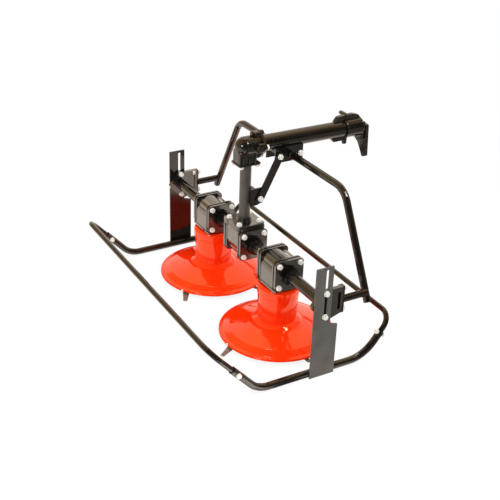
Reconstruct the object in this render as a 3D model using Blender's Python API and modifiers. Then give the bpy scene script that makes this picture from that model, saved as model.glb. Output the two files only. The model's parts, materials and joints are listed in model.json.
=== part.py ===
"""Two-drum rotary mower for a walk-behind tractor.

A horizontal drive tube runs forward from the hitch to an elbow gearbox, a column goes down from
there to the centre gearbox, and shafts inside two short housings drive the left and right drum
gearboxes. Each drum carries a shallow steel disc with two swinging knives. Side tubes, slotted
skid plates and a loop of bent pipes guard the discs and carry the machine on the ground.

Metres, +X forward, +Y to the machine's left, +Z up. The ground is at z = 0, and the origin is on
the ground under the middle of the machine's length and width.
"""
import math

import bmesh
import bpy
from mathutils import Matrix, Vector

# ---- clearances --------------------------------------------------------------------------------
FIT = 0.0003              # between pieces that touch
RUN = 0.005               # between a turning piece and its neighbour
SUNK = 0.002              # how far a welded-on form reaches into its neighbour before the union
SHARP_ANGLE = math.radians(35)

# ---- driving dimensions ------------------------------------------------------------------------
AXLE_Z = 0.228            # cross shaft above the ground
DRUM_PITCH = 0.400        # between the two drum axes
TUBE_RISE = 0.290         # drive tube axis above the cross shaft
HOOP_DROP = 0.044         # straight top of the hoop below the drive tube

DRIVE_OD = 0.0483
COLUMN_OD = 0.0337
SIDE_TUBE_OD = 0.0337
PIPE_OD = 0.0213          # rails, hoop and hoop arms
BAR_OD = 0.016            # front and rear bars, which slide into the rails

# ---- side rails and bars -----------------------------------------------------------------------
RAIL_Y = 0.428
RAIL_FRONT_X = 0.190      # where the rail turns up, measured to the corner of its centre line
RAIL_REAR_X = -0.155
FRONT_BAR_X = 0.336
FRONT_BAR_Z = 0.169
REAR_BAR_X = -0.240
REAR_BAR_Z = 0.121
FRONT_RISER = 0.120       # rail beyond its front corner
REAR_RISER = 0.086
FRONT_RAIL_BEND = 0.075
REAR_RAIL_BEND = 0.100
FRONT_BAR_BEND = 0.052
REAR_BAR_BEND = 0.041
SOCKET_DEPTH = 0.045      # bar inside the rail

# ---- skid plates -------------------------------------------------------------------------------
PLATE_T = 0.004
PLATE_FRONT_X = 0.035
PLATE_REAR_X = -0.043
PLATE_NECK_X = -0.0185    # rear edge of the narrow upper part
PLATE_TOP = 0.343
PLATE_STEP = 0.167        # height of the step where it meets the neck
PLATE_STEP_REAR = 0.1595  # and at the rear edge, since it slopes down
PLATE_BOTTOM = 0.0015
SLOT_W = 0.009
SLOT_TOP = 0.336

# ---- cross shaft flanges and end brackets ------------------------------------------------------
BOLT_RADIUS = 0.0355      # bolt circle of the diamond flanges
BRACKET_T = 0.012
BRACKET_NOSE_X = 0.041
BRACKET_CHIN_Z = -0.014
BRACKET_SHOULDER_X = 0.008
BRACKET_HEEL_X = -0.010
BRACKET_HEEL_Z = -0.052
BRACKET_CORNER = 0.006
BRACKET_FLANGE_X = -0.050
BRACKET_FLANGE_T = 0.006
BRACKET_FLANGE_W = 0.0162
BRACKET_TOP = 0.041
BRACKET_FOOT = 0.039
RECESS_DEPTH = 0.006      # pocket in the outer face, in front of the bolted flange
RECESS_L = 0.009
RECESS_TOP = 0.027
RECESS_LOW = 0.025
HOLE_D = 0.0085

# ---- gearboxes ---------------------------------------------------------------------------------
FLANGE_HALF = 0.046       # half the side of the square gearbox flanges
FLANGE_T = 0.009
FLANGE_CORNER = 0.008
BOX_INNER = -0.042        # a box runs from here to BOX_OUTER along Y, from its drum's axis
BOX_OUTER = 0.061
BODY_R = 0.0445           # arched top of the housing, about the cross shaft
BASE_T = 0.008
BASE_DROP = 0.0495        # underside of the base plate below the cross shaft
NECK_R = 0.028            # two rings at each end of a shaft housing, with a groove between them
NECK_L = 0.006
NECK_GROOVE_R = 0.020
NECK_GROOVE_END = 0.011
NECK_RING_R = 0.0235
NECK_RING_END = 0.019
NECK_TAPER = 0.002
COLUMN_PLATE_T = 0.008    # square foot plate of the column, bolted to the centre gearbox

# ---- drums, discs and knives -------------------------------------------------------------------
DRUM_X = -0.005           # drum axes behind the cross shaft
DRUM_R = 0.058
DRUM_WALL = 0.004
CAP_R = 0.0625            # the drum's upper end swells to this radius
CAP_CORNER = 0.005
CAP_Z = 0.164
CAP_FOOT = 0.128
DRUM_BOTTOM = 0.063
FLARE_R = 0.072
FLARE_Z = 0.052
SHAFT_R = 0.0125          # vertical shaft from each gearbox into its drum
SHAFT_CLEAR = 0.001
SHAFT_INSIDE = 0.010
DISC_R = 0.170
DISC_T = 0.003
DISC_CURVE = ((0.600, 0.0430), (0.812, 0.0312), (0.930, 0.0208), (0.976, 0.0188))
                          # share of the disc's radius and height of its upper skin
RIM_Z = 0.0125            # lower edge of the rim
RIM_CORNER = 0.002
HUB_R = 0.026
HUB_BOTTOM = 0.014
KNIVES = 2
KNIFE_INSET = 0.018       # knife pin inside the edge of the disc
KNIFE_REACH = 0.0605      # from the pin to the tip
KNIFE_T = 0.003
KNIFE_W = 0.020
KNIFE_TIP_W = 0.0125
KNIFE_Z = 0.0045          # underside of the knife
KNIFE_PIN_R = 0.005
KNIFE_HOLE_R = 0.0056
KNIFE_BOSS_R = 0.011
KNIFE_NUT_R = 0.008
KNIFE_GAP = 0.0006
KNIFE_TIP_CORNER = 0.003
KNIFE_BOSS_TOP = 0.0185   # inside the disc's skin
KNIFE_NUT_Z = 0.0015
FIN_ANGLE = math.radians(87)   # sweep fins on bosses between the knives, from the knife pins
FIN_OVERHANG = 0.008
FIN_L = 0.030
FIN_W = 0.012
FIN_T = 0.003
LEFT_PHASE = math.radians(3.7)     # where each disc's first knife pin stands
RIGHT_PHASE = math.radians(28.5)
LEFT_SWING = math.radians(28)      # how far the knives have swung forward of their spokes
RIGHT_SWING = math.radians(31)

# ---- elbow gearbox, hitch, saddle and strut ----------------------------------------------------
ELBOW_BASE_DROP = 0.052   # underside of the elbow's foot below the drive tube
ELBOW_BASE_T = 0.005
ELBOW_BASE_REAR_X = -0.0355
ELBOW_BASE_FRONT_X = 0.036
ELBOW_BASE_W = 0.055
ELBOW_BODY_REAR_X = -0.025
ELBOW_BODY_FRONT_X = 0.033
ELBOW_BODY_W = 0.051
ELBOW_CONE_R = 0.0433     # the body's shoulders are turned to a cone round the column's axis
ELBOW_CONE_DROP = 0.020
ELBOW_R = 0.029
ELBOW_NOSE_X = 0.006      # centre of the domed front end
ELBOW_REAR_X = -0.038
EAR_L = 0.018             # bolt ears round the rear end
EAR_HALF_W = 0.014
EAR_R = 0.040
DIAMOND_T = 0.008
DIAMOND_R = 0.046
DIAMOND_CORNER = 0.009
SLEEVE_OD = 0.058
SLEEVE_FRONT_X = -0.334
SLEEVE_REAR_X = -0.389
SLEEVE_NECK_HALF_W = 0.020
SLEEVE_NECK_TOP = 0.017
SLEEVE_NECK_LOW = -0.040
SLEEVE_FLOOR = 0.010      # solid end of the sleeve behind the tube
EAR_T = 0.012
UPPER_EAR = ((-0.297, 0.026), (-0.308, 0.041), (-0.362, 0.044), (-0.381, 0.0396), (-0.397, 0.0196))
LOWER_EAR = ((-0.290, -0.026), (-0.298, -0.037), (-0.341, -0.036), (-0.352, -0.0275))
EAR_ROOT = 0.020          # ears reach this far out inside the sleeve
PIN_X = -0.341
PIN_R = 0.007
PIN_RISE = 0.040
PIN_START_Y = -0.032
PIN_END_Y = 0.011
DROP_PIN_R = 0.0075
DROP_PIN_END = -0.050
TONGUE_X = -0.401
TONGUE_T = 0.011
TONGUE_CORNER = 0.005
TONGUE_OUTLINE = ((-0.033, 0.010), (0.023, 0.007), (0.029, -0.092), (0.014, -0.097), (0.0037, -0.080),
                  (-0.0133, -0.058), (-0.033, -0.047))   # y and height from the drive tube
SADDLE_FRONT_X = -0.082
SADDLE_REAR_X = -0.176
SADDLE_T = 0.004
SADDLE_SEAT_T = 0.005
SADDLE_HALF_W = 0.027
SADDLE_DROP = 0.059       # lower edge of the cheeks below the drive tube
SADDLE_BOLT_X = -0.0955
SADDLE_BOLT_DROP = 0.0385
HOOP_X = -0.142
HOOP_CORNER_Y = 0.290
HOOP_BEND = 0.060
HOOP_FOOT_Y = 0.438
HOOP_FOOT_RISE = -0.031
ARM_Y = 0.4285
ARM_RISE = -0.004
STRAP_W = 0.024
STRAP_T = 0.005
STRAP_FOOT_X = -0.0344
STRAP_FOOT_RISE = 0.1303
LUG_FRONT_X = -0.004
LUG_REAR_X = -0.043
LUG_CHAMFER_X = -0.028
LUG_LOW = 0.110
LUG_CHAMFER_TOP = 0.118
LUG_TOP = 0.163
LUG_T = 0.005
LUG_WEB_T = 0.010
COLLAR_SPREAD_R = 0.025   # weld spread, collar and ring at the foot of the column
COLLAR_R = 0.020
COLLAR_RING_R = 0.0215
COLLAR_SPREAD_TOP = 0.002
COLLAR_LOW = 0.004
COLLAR_RING_LOW = 0.006
COLLAR_TOP = 0.0125

# ---- origin under the middle of the machine ----------------------------------------------------
REAR_END_X = TONGUE_X - TONGUE_T
FRONT_END_X = FRONT_BAR_X + BAR_OD / 2
ORIGIN_SHIFT = -(REAR_END_X + FRONT_END_X) / 2
SIDES = (("left", 1), ("right", -1))

for old in list(bpy.data.objects):
    bpy.data.objects.remove(old, do_unlink=True)

mower = bpy.data.collections.new("rotary_mower")
cutters = bpy.data.collections.new("cutters")
for group in (mower, cutters):
    bpy.context.scene.collection.children.link(group)

frame_empty = bpy.data.objects.new("machine_frame", None)
frame_empty.location.x = ORIGIN_SHIFT
mower.objects.link(frame_empty)


# ---- materials ---------------------------------------------------------------------------------
def material(name, colour, roughness, metallic=0.0):
    mat = bpy.data.materials.new(name)
    mat.use_nodes = True
    shader = mat.node_tree.nodes["Principled BSDF"]
    shader.inputs["Base Color"].default_value = (*colour, 1.0)
    shader.inputs["Roughness"].default_value = roughness
    shader.inputs["Metallic"].default_value = metallic
    return mat


BLACK = material("black enamel", (0.012, 0.011, 0.010), 0.25)
GREY = material("satin grey paint", (0.10, 0.09, 0.085), 0.5)
RED = material("red enamel", (0.90, 0.045, 0.008), 0.25)
STEEL = material("knife steel", (0.16, 0.12, 0.10), 0.45, 1.0)


# ---- outlines and paths ------------------------------------------------------------------------
def rounded(points, radius, steps=6, closed=True):
    """The polygon or path with each corner replaced by an arc of the radius given."""
    points = [Vector(point) for point in points]
    radii = radius if isinstance(radius, (list, tuple)) else [radius] * len(points)
    result = []
    for index, corner in enumerate(points):
        inner = closed or 0 < index < len(points) - 1
        if not inner or radii[index] <= 0:
            result.append(corner)
            continue
        back = (points[index - 1] - corner).normalized()
        ahead = (points[(index + 1) % len(points)] - corner).normalized()
        half = back.angle(ahead) / 2
        centre = corner + (back + ahead).normalized() * (radii[index] / math.sin(half))
        start = corner + back * (radii[index] / math.tan(half)) - centre
        stop = corner + ahead * (radii[index] / math.tan(half)) - centre
        sweep = start.angle(stop)
        for step in range(steps + 1):
            part = sweep * step / steps
            arc = start * math.sin(sweep - part) + stop * math.sin(part)
            result.append(centre + arc / math.sin(sweep))
    return result


def rectangle(width, height, centre=(0, 0)):
    x, y = centre
    return [(x + sx * width / 2, y + sy * height / 2) for sx, sy in ((1, 1), (-1, 1), (-1, -1), (1, -1))]


# ---- solids ------------------------------------------------------------------------------------
def place(obj, location=(0, 0, 0), parent=None):
    obj.location = location
    obj.parent = parent or frame_empty
    return obj


def finished(name, mesh, finish, location=(0, 0, 0), parent=None):
    mesh.name = name
    obj = bpy.data.objects.new(name, mesh)
    mower.objects.link(obj)
    mesh.materials.clear()
    mesh.materials.append(finish)
    mesh.shade_smooth()
    mesh.set_sharp_from_angle(angle=SHARP_ANGLE)
    return place(obj, location, parent)


def curve_mesh(curve):
    """The curve's filled shape as one closed mesh, with its caps welded on."""
    holder = bpy.data.objects.new("curve", curve)
    mower.objects.link(holder)
    graph = bpy.context.evaluated_depsgraph_get()
    mesh = bpy.data.meshes.new_from_object(holder.evaluated_get(graph))
    bpy.data.objects.remove(holder, do_unlink=True)
    work = bmesh.new()
    work.from_mesh(mesh)
    bmesh.ops.remove_doubles(work, verts=work.verts, dist=0.00001)
    bmesh.ops.recalc_face_normals(work, faces=work.faces)
    work.to_mesh(mesh)
    work.free()
    return mesh


def pipe_mesh(path, diameter, sides=16):
    curve = bpy.data.curves.new("pipe", "CURVE")
    curve.dimensions = "3D"
    curve.bevel_depth = diameter / 2
    curve.bevel_resolution = (sides - 4) // 2
    curve.use_fill_caps = True
    spline = curve.splines.new("POLY")
    spline.points.add(len(path) - 1)
    for point, co in zip(spline.points, path):
        point.co = (*co, 1.0)
    return curve_mesh(curve)


PLANES = {                # outline x, outline y and normal
    "XZ": Matrix(((1, 0, 0), (0, 0, -1), (0, 1, 0))).to_4x4(),
    "YZ": Matrix(((0, 0, 1), (1, 0, 0), (0, 1, 0))).to_4x4(),
    "XY": Matrix.Identity(4),
}


def plate_mesh(outline, thickness, plane, centre=(0, 0, 0), holes=()):
    """A flat outline, with its holes, given a thickness about its centre plane."""
    curve = bpy.data.curves.new("plate", "CURVE")
    curve.dimensions = "2D"
    curve.fill_mode = "BOTH"
    curve.extrude = thickness / 2
    for loop in (outline, *holes):
        spline = curve.splines.new("POLY")
        spline.points.add(len(loop) - 1)
        for point, co in zip(spline.points, loop):
            point.co = (co[0], co[1], 0.0, 1.0)
        spline.use_cyclic_u = True
    mesh = curve_mesh(curve)
    mesh.transform(Matrix.Translation(centre) @ PLANES[plane])
    return mesh


def circle(radius, centre=(0, 0), sides=20):
    return [(centre[0] + radius * math.cos(math.tau * i / sides),
             centre[1] + radius * math.sin(math.tau * i / sides)) for i in range(sides)]


def cylinder_mesh(radius, start, end, sides=32):
    start, end = Vector(start), Vector(end)
    work = bmesh.new()
    bmesh.ops.create_cone(work, cap_ends=True, segments=sides, radius1=radius, radius2=radius,
                          depth=(end - start).length)
    mesh = bpy.data.meshes.new("cylinder")
    work.to_mesh(mesh)
    work.free()
    turn = (end - start).to_track_quat("Z", "Y").to_matrix().to_4x4()
    mesh.transform(Matrix.Translation((start + end) / 2) @ turn)
    return mesh


def box_mesh(low, high):
    low, high = Vector(low), Vector(high)
    work = bmesh.new()
    bmesh.ops.create_cube(work, size=1.0)
    mesh = bpy.data.meshes.new("box")
    work.to_mesh(mesh)
    work.free()
    mesh.transform(Matrix.Translation((low + high) / 2) @ Matrix.Diagonal((*(high - low), 1.0)))
    return mesh


def spun_mesh(profile, end_x, z, sides=32):
    """(radius, length) points turned about an axis along -X that starts at end_x."""
    work = bmesh.new()
    points = [work.verts.new((radius, 0, length)) for radius, length in profile]
    edges = [work.edges.new(pair) for pair in zip(points, points[1:])]
    bmesh.ops.spin(work, geom=points + edges, cent=(0, 0, 0), axis=(0, 0, 1), angle=math.tau,
                   steps=sides, use_merge=True)
    bmesh.ops.remove_doubles(work, verts=work.verts, dist=0.00001)
    bmesh.ops.recalc_face_normals(work, faces=work.faces)
    mesh = bpy.data.meshes.new("spun")
    work.to_mesh(mesh)
    work.free()
    mesh.transform(Matrix.Translation((end_x, 0, z)) @ Matrix.Rotation(-math.pi / 2, 4, "Y"))
    return mesh


def guide(mesh, owner):
    """A hidden shape that a Boolean modifier of its owner uses."""
    obj = bpy.data.objects.new("shape for " + owner.name, mesh)
    obj.hide_render = True
    obj.display_type = "WIRE"
    cutters.objects.link(obj)
    obj.parent = owner.parent
    obj.location = owner.location
    return obj


def combine(obj, meshes, operation):
    for mesh in meshes:
        step = obj.modifiers.new(operation.lower(), "BOOLEAN")
        step.operation = operation
        step.solver = "EXACT"
        step.object = guide(mesh, obj)


def turned(name, profile, finish, location, parent, sides=48):
    """A shape turned about its own Z axis from (radius, height) points."""
    mesh = bpy.data.meshes.new(name)
    closed = profile[0][0] > 0 or profile[-1][0] > 0
    edges = [(i, i + 1) for i in range(len(profile) - 1)]
    if closed:
        edges.append((len(profile) - 1, 0))
    mesh.from_pydata([(radius, 0, height) for radius, height in profile], edges, [])
    obj = finished(name, mesh, finish, location, parent)
    spin = obj.modifiers.new("turn", "SCREW")
    spin.steps = spin.render_steps = sides
    spin.use_merge_vertices = True
    spin.merge_threshold = 0.00001
    spin.use_smooth_shade = True
    return obj


# ---- side rails and bars -----------------------------------------------------------------------
RAIL_Z = PIPE_OD / 2


def riser(side, front):
    """Corner of the rail's centre line, corner of the bar's, and the direction between them."""
    if front:
        foot, top = (RAIL_FRONT_X, RAIL_Z), (FRONT_BAR_X, FRONT_BAR_Z)
    else:
        foot, top = (RAIL_REAR_X, RAIL_Z), (REAR_BAR_X, REAR_BAR_Z)
    foot = Vector((foot[0], side * RAIL_Y, foot[1]))
    top = Vector((top[0], side * RAIL_Y, top[1]))
    return foot, top, (top - foot).normalized()


def side_rail(name, side):
    front_foot, _, front_way = riser(side, True)
    rear_foot, _, rear_way = riser(side, False)
    front_end = front_foot + front_way * FRONT_RISER
    rear_end = rear_foot + rear_way * REAR_RISER
    bends = [0, FRONT_RAIL_BEND, REAR_RAIL_BEND, 0]
    path = rounded([front_end, front_foot, rear_foot, rear_end], bends, 8, closed=False)
    rail = finished(name, pipe_mesh(path, PIPE_OD), BLACK)
    sockets = []
    for end, way in ((front_end, front_way), (rear_end, rear_way)):
        bore = BAR_OD / 2 + FIT
        sockets.append(cylinder_mesh(bore, end - way * SOCKET_DEPTH, end + way * SOCKET_DEPTH, 16))
    combine(rail, sockets, "DIFFERENCE")
    return rail


def cross_bar(name, front):
    inside = SOCKET_DEPTH - FIT
    reach = (FRONT_RISER if front else REAR_RISER) - inside
    bend = FRONT_BAR_BEND if front else REAR_BAR_BEND
    foot, top, way = riser(1, front)
    other_foot, other_top, _ = riser(-1, front)
    path = [foot + way * reach, top, other_top, other_foot + way * reach]
    return finished(name, pipe_mesh(rounded(path, bend, 8, closed=False), BAR_OD, 12), BLACK)


# ---- skid plates -------------------------------------------------------------------------------
PLATE_INNER_Y = RAIL_Y + PIPE_OD / 2 + FIT
SLOT_BOTTOM = AXLE_Z - BOLT_RADIUS - SLOT_W / 2


def skid_plate(name, side):
    outline = [(PLATE_FRONT_X, PLATE_BOTTOM), (PLATE_FRONT_X, PLATE_TOP), (PLATE_NECK_X, PLATE_TOP),
               (PLATE_NECK_X, PLATE_STEP), (PLATE_REAR_X, PLATE_STEP_REAR), (PLATE_REAR_X, PLATE_BOTTOM)]
    slot = rounded(rectangle(SLOT_W, SLOT_TOP - SLOT_BOTTOM, (0, (SLOT_TOP + SLOT_BOTTOM) / 2)),
                   SLOT_W / 2 - FIT, 4)
    centre_y = side * (PLATE_INNER_Y + PLATE_T / 2)
    mesh = plate_mesh(outline, PLATE_T, "XZ", (0, centre_y, 0), [slot])
    return finished(name, mesh, GREY if side > 0 else BLACK)


# ---- end brackets, side tubes and hoop ---------------------------------------------------------
BRACKET_OUTER_Y = PLATE_INNER_Y - FIT
BRACKET_INNER_Y = BRACKET_OUTER_Y - BRACKET_T
ARM_FLANGE_X = BRACKET_FLANGE_X - BRACKET_FLANGE_T - FIT


def flange_box(front_x, side):
    """The upright flange plate at the back of an end bracket, from its front face."""
    inner_y, outer_y = BRACKET_OUTER_Y - BRACKET_FLANGE_W, BRACKET_OUTER_Y
    ys = sorted((side * inner_y, side * outer_y))
    return box_mesh((front_x - BRACKET_FLANGE_T, ys[0], AXLE_Z - BRACKET_FOOT),
                    (front_x, ys[1], AXLE_Z + BRACKET_TOP))


def end_bracket(name, side):
    """Cast bracket behind the skid plate, with a pocket in front of its bolted rear flange."""
    outline = [(BRACKET_SHOULDER_X, BRACKET_TOP), (BRACKET_NOSE_X, 0.0),
               (BRACKET_NOSE_X + BRACKET_CHIN_Z / 2, BRACKET_CHIN_Z), (BRACKET_HEEL_X, BRACKET_HEEL_Z),
               (BRACKET_FLANGE_X - SUNK, -BRACKET_FOOT), (BRACKET_FLANGE_X - SUNK, BRACKET_TOP)]
    outline = rounded([(x, AXLE_Z + z) for x, z in outline], [BRACKET_CORNER] * 4 + [0, 0], 3)
    holes = [circle(HOLE_D / 2, (0, AXLE_Z + BOLT_RADIUS * way), 12) for way in (1, -1)]
    centre_y = side * (BRACKET_INNER_Y + BRACKET_OUTER_Y) / 2
    bracket = finished(name, plate_mesh(outline, BRACKET_T, "XZ", (0, centre_y, 0), holes), BLACK)
    combine(bracket, [flange_box(BRACKET_FLANGE_X, side)], "UNION")
    ys = sorted((side * (BRACKET_OUTER_Y - RECESS_DEPTH), side * (BRACKET_OUTER_Y + RECESS_DEPTH)))
    pocket = box_mesh((BRACKET_FLANGE_X, ys[0], AXLE_Z - RECESS_LOW),
                      (BRACKET_FLANGE_X + RECESS_L, ys[1], AXLE_Z + RECESS_TOP))
    combine(bracket, [pocket], "DIFFERENCE")
    return bracket


def hoop_corner(side):
    return Vector((HOOP_X, side * HOOP_CORNER_Y, AXLE_Z + TUBE_RISE - HOOP_DROP))


def hoop_foot(side):
    return Vector((HOOP_X, side * HOOP_FOOT_Y, AXLE_Z + HOOP_FOOT_RISE))


def hoop(name):
    path = [hoop_foot(1), hoop_corner(1), hoop_corner(-1), hoop_foot(-1)]
    return finished(name, pipe_mesh(rounded(path, HOOP_BEND, 10, closed=False), PIPE_OD), BLACK)


def hoop_arm(name, side):
    """The bolted flange and short tube that carry one foot of the hoop."""
    axis_z = AXLE_Z + ARM_RISE
    tube = cylinder_mesh(PIPE_OD / 2, (ARM_FLANGE_X - SUNK, side * ARM_Y, axis_z),
                         (HOOP_X, side * ARM_Y, axis_z), 16)
    arm = finished(name, tube, BLACK)
    combine(arm, [flange_box(ARM_FLANGE_X, side)], "UNION")
    down = (hoop_foot(side) - hoop_corner(side)).normalized() * PIPE_OD
    leg = cylinder_mesh(PIPE_OD / 2 + FIT, hoop_foot(side) + down, hoop_corner(side), 16)
    combine(arm, [leg], "DIFFERENCE")
    return arm


# ---- gearboxes ---------------------------------------------------------------------------------
BASE_BOTTOM = AXLE_Z - BASE_DROP
COLUMN_SEAT = AXLE_Z + BASE_DROP      # the centre gearbox stands on its head under the column


def square_flange(y):
    side = FLANGE_HALF * 2
    outline = rounded(rectangle(side, side, (0, AXLE_Z)), FLANGE_CORNER, 3)
    return plate_mesh(outline, FLANGE_T, "XZ", (0, y, 0))


def housing(name, axis_y, way):
    """A cast gearbox between two square flanges: the arch is up on a drum's (way 1) and down on the
    centre one (way -1), opposite to the base plate."""
    steps = 16
    outline = [(BODY_R * math.cos(math.pi * i / steps), AXLE_Z + way * BODY_R * math.sin(math.pi * i / steps))
               for i in range(steps + 1)]
    outline += [(-BODY_R, AXLE_Z - way * BODY_R), (BODY_R, AXLE_Z - way * BODY_R)]
    near, far = axis_y + BOX_OUTER, axis_y + BOX_INNER
    body = finished(name, plate_mesh(outline, near - far - FLANGE_T, "XZ", (0, (near + far) / 2, 0)), BLACK)
    if way > 0:
        base = box_mesh((-FLANGE_HALF, far, BASE_BOTTOM), (FLANGE_HALF, near, BASE_BOTTOM + BASE_T))
    else:
        base = box_mesh((-FLANGE_HALF, far, COLUMN_SEAT - BASE_T), (FLANGE_HALF, FLANGE_HALF, COLUMN_SEAT))
    combine(body, [square_flange(near - FLANGE_T / 2), square_flange(far + FLANGE_T / 2), base], "UNION")
    if way > 0:
        bore = cylinder_mesh(SHAFT_R + SHAFT_CLEAR, (DRUM_X, axis_y, BASE_BOTTOM - SHAFT_INSIDE),
                             (DRUM_X, axis_y, BASE_BOTTOM + SHAFT_INSIDE + SHAFT_CLEAR), 24)
        combine(body, [bore], "DIFFERENCE")
    return body


def neck(name, start_y, end_y, stepped_end=True):
    """A turned shaft housing between two cross-shaft flanges, with rings at its ends."""
    length = abs(end_y - start_y)
    tube_r = SIDE_TUBE_OD / 2
    first = [(NECK_R, 0), (NECK_R, NECK_L), (NECK_GROOVE_R, NECK_L), (NECK_GROOVE_R, NECK_GROOVE_END),
             (NECK_RING_R, NECK_GROOVE_END), (NECK_RING_R, NECK_RING_END),
             (tube_r, NECK_RING_END + NECK_TAPER)]
    if stepped_end:
        last = [(radius, length - height) for radius, height in reversed(first)]
    else:
        last = [(tube_r, length)]
    profile = [(0, length)] + list(reversed(first + last)) + [(0, 0)]
    obj = turned(name, profile, BLACK, (0, start_y, AXLE_Z), frame_empty, 32)
    obj.rotation_euler.x = math.radians(-90 if end_y > start_y else 90)
    return obj


# ---- column, elbow, drive tube and hitch -------------------------------------------------------
COLUMN_FOOT = COLUMN_SEAT + FIT + COLUMN_PLATE_T
TUBE_Z = AXLE_Z + TUBE_RISE
ELBOW_BASE_Z = TUBE_Z - ELBOW_BASE_DROP
DRIVE_FRONT_X = ELBOW_REAR_X - FIT
TUBE_BORE_R = DRIVE_OD / 2 + FIT


def column(name):
    """The column's tube, with the collar and square foot plate at its lower end."""
    foot, top = COLUMN_FOOT - SUNK, ELBOW_BASE_Z - FIT
    radius = COLUMN_OD / 2
    collar = [(radius, COLLAR_TOP), (COLLAR_RING_R, COLLAR_TOP), (COLLAR_RING_R, COLLAR_RING_LOW),
              (COLLAR_R, COLLAR_RING_LOW), (COLLAR_R, COLLAR_LOW), (COLLAR_SPREAD_R, COLLAR_SPREAD_TOP)]
    profile = [(0, top - foot), (radius, top - foot)] + [(r, SUNK + rise) for r, rise in collar]
    profile += [(COLLAR_SPREAD_R, 0), (0, 0)]
    post = turned(name, profile, BLACK, (0, 0, foot), frame_empty, 32)
    low = COLUMN_FOOT - COLUMN_PLATE_T - foot
    plate = box_mesh((-FLANGE_HALF, -FLANGE_HALF, low), (FLANGE_HALF, FLANGE_HALF, COLUMN_FOOT - foot))
    combine(post, [plate], "UNION")
    return post


def elbow(name):
    """Cast elbow gearbox: a body on a foot plate and a domed barrel along the drive tube."""
    half = ELBOW_BODY_W / 2
    body = box_mesh((ELBOW_BODY_REAR_X, -half, ELBOW_BASE_Z + ELBOW_BASE_T - SUNK),
                    (ELBOW_BODY_FRONT_X, half, TUBE_Z - SUNK))
    elbow_box = finished(name, body, BLACK)
    cone = bmesh.new()
    slope = (ELBOW_CONE_R - ELBOW_R) / ELBOW_CONE_DROP
    bmesh.ops.create_cone(cone, cap_ends=True, segments=48, radius1=ELBOW_R + slope * ELBOW_BASE_DROP,
                          radius2=ELBOW_R, depth=ELBOW_BASE_DROP)
    cone_mesh = bpy.data.meshes.new("cone")
    cone.to_mesh(cone_mesh)
    cone.free()
    cone_mesh.transform(Matrix.Translation((0, 0, TUBE_Z - ELBOW_BASE_DROP / 2)))
    combine(elbow_box, [cone_mesh], "INTERSECT")
    base_half = ELBOW_BASE_W / 2
    base = box_mesh((ELBOW_BASE_REAR_X, -base_half, ELBOW_BASE_Z),
                    (ELBOW_BASE_FRONT_X, base_half, ELBOW_BASE_Z + ELBOW_BASE_T))
    arcs = [math.pi / 2 * step / 8 for step in range(9)]
    dome = [(ELBOW_R * math.sin(arc), ELBOW_R * (1 - math.cos(arc))) for arc in arcs]
    nose_x = ELBOW_NOSE_X + ELBOW_R
    rear = nose_x - ELBOW_REAR_X - FIT
    barrel = spun_mesh(dome + [(ELBOW_R, rear), (0, rear)], nose_x, TUBE_Z)
    front = ELBOW_REAR_X + EAR_L
    ears = [box_mesh((ELBOW_REAR_X, -EAR_HALF_W, TUBE_Z - EAR_R), (front, EAR_HALF_W, TUBE_Z + EAR_R)),
            box_mesh((ELBOW_REAR_X + FIT, -EAR_R, TUBE_Z - EAR_HALF_W),
                     (front - FIT, EAR_R, TUBE_Z + EAR_HALF_W))]
    combine(elbow_box, [base, barrel] + ears, "UNION")
    return elbow_box


def drive_tube(name):
    """Drive tube with the diamond flange that bolts to the elbow."""
    corners = [(DIAMOND_R, 0), (0, DIAMOND_R), (-DIAMOND_R, 0), (0, -DIAMOND_R)]
    outline = rounded([(y, TUBE_Z + z) for y, z in corners], DIAMOND_CORNER, 3)
    centre_x = DRIVE_FRONT_X - DIAMOND_T / 2
    tube = finished(name, plate_mesh(outline, DIAMOND_T, "YZ", (centre_x, 0, 0)), BLACK)
    start, end = (DRIVE_FRONT_X - SUNK, 0, TUBE_Z), (SLEEVE_REAR_X + SLEEVE_FLOOR, 0, TUBE_Z)
    combine(tube, [cylinder_mesh(DRIVE_OD / 2, start, end, 32)], "UNION")
    return tube


def hitch_sleeve(name):
    """Sleeve at the end of the drive tube, with its ears, pins and the neck to the hitch tongue."""
    sleeve = finished(name, cylinder_mesh(SLEEVE_OD / 2, (SLEEVE_FRONT_X, 0, TUBE_Z),
                                          (SLEEVE_REAR_X, 0, TUBE_Z), 32), BLACK)
    rear = TONGUE_X + FIT
    neck_block = box_mesh((rear, -SLEEVE_NECK_HALF_W, TUBE_Z + SLEEVE_NECK_LOW),
                          (SLEEVE_REAR_X + SUNK, SLEEVE_NECK_HALF_W, TUBE_Z + SLEEVE_NECK_TOP))
    upper = list(UPPER_EAR) + [(rear, SLEEVE_NECK_TOP), (rear, 0), (SLEEVE_FRONT_X, 0),
                               (SLEEVE_FRONT_X, EAR_ROOT), (SLEEVE_FRONT_X, UPPER_EAR[0][1])]
    lower = list(LOWER_EAR) + [(LOWER_EAR[-1][0], -EAR_ROOT), (SLEEVE_FRONT_X, -EAR_ROOT),
                               (SLEEVE_FRONT_X, LOWER_EAR[0][1])]
    ears = [plate_mesh([(x, TUBE_Z + z) for x, z in ear], EAR_T, "XZ") for ear in (upper, lower)]
    pin_z = TUBE_Z + PIN_RISE
    pins = [cylinder_mesh(PIN_R, (PIN_X, PIN_START_Y, pin_z), (PIN_X, PIN_END_Y, pin_z), 16),
            cylinder_mesh(DROP_PIN_R, (PIN_X, 0, TUBE_Z + DROP_PIN_END), (PIN_X, 0, TUBE_Z - EAR_ROOT), 16)]
    combine(sleeve, [neck_block] + ears + pins, "UNION")
    bore = cylinder_mesh(TUBE_BORE_R, (LOWER_EAR[0][0] + DRIVE_OD, 0, TUBE_Z),
                         (SLEEVE_REAR_X + SLEEVE_FLOOR - FIT, 0, TUBE_Z), 32)
    combine(sleeve, [bore], "DIFFERENCE")
    return sleeve


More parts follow.
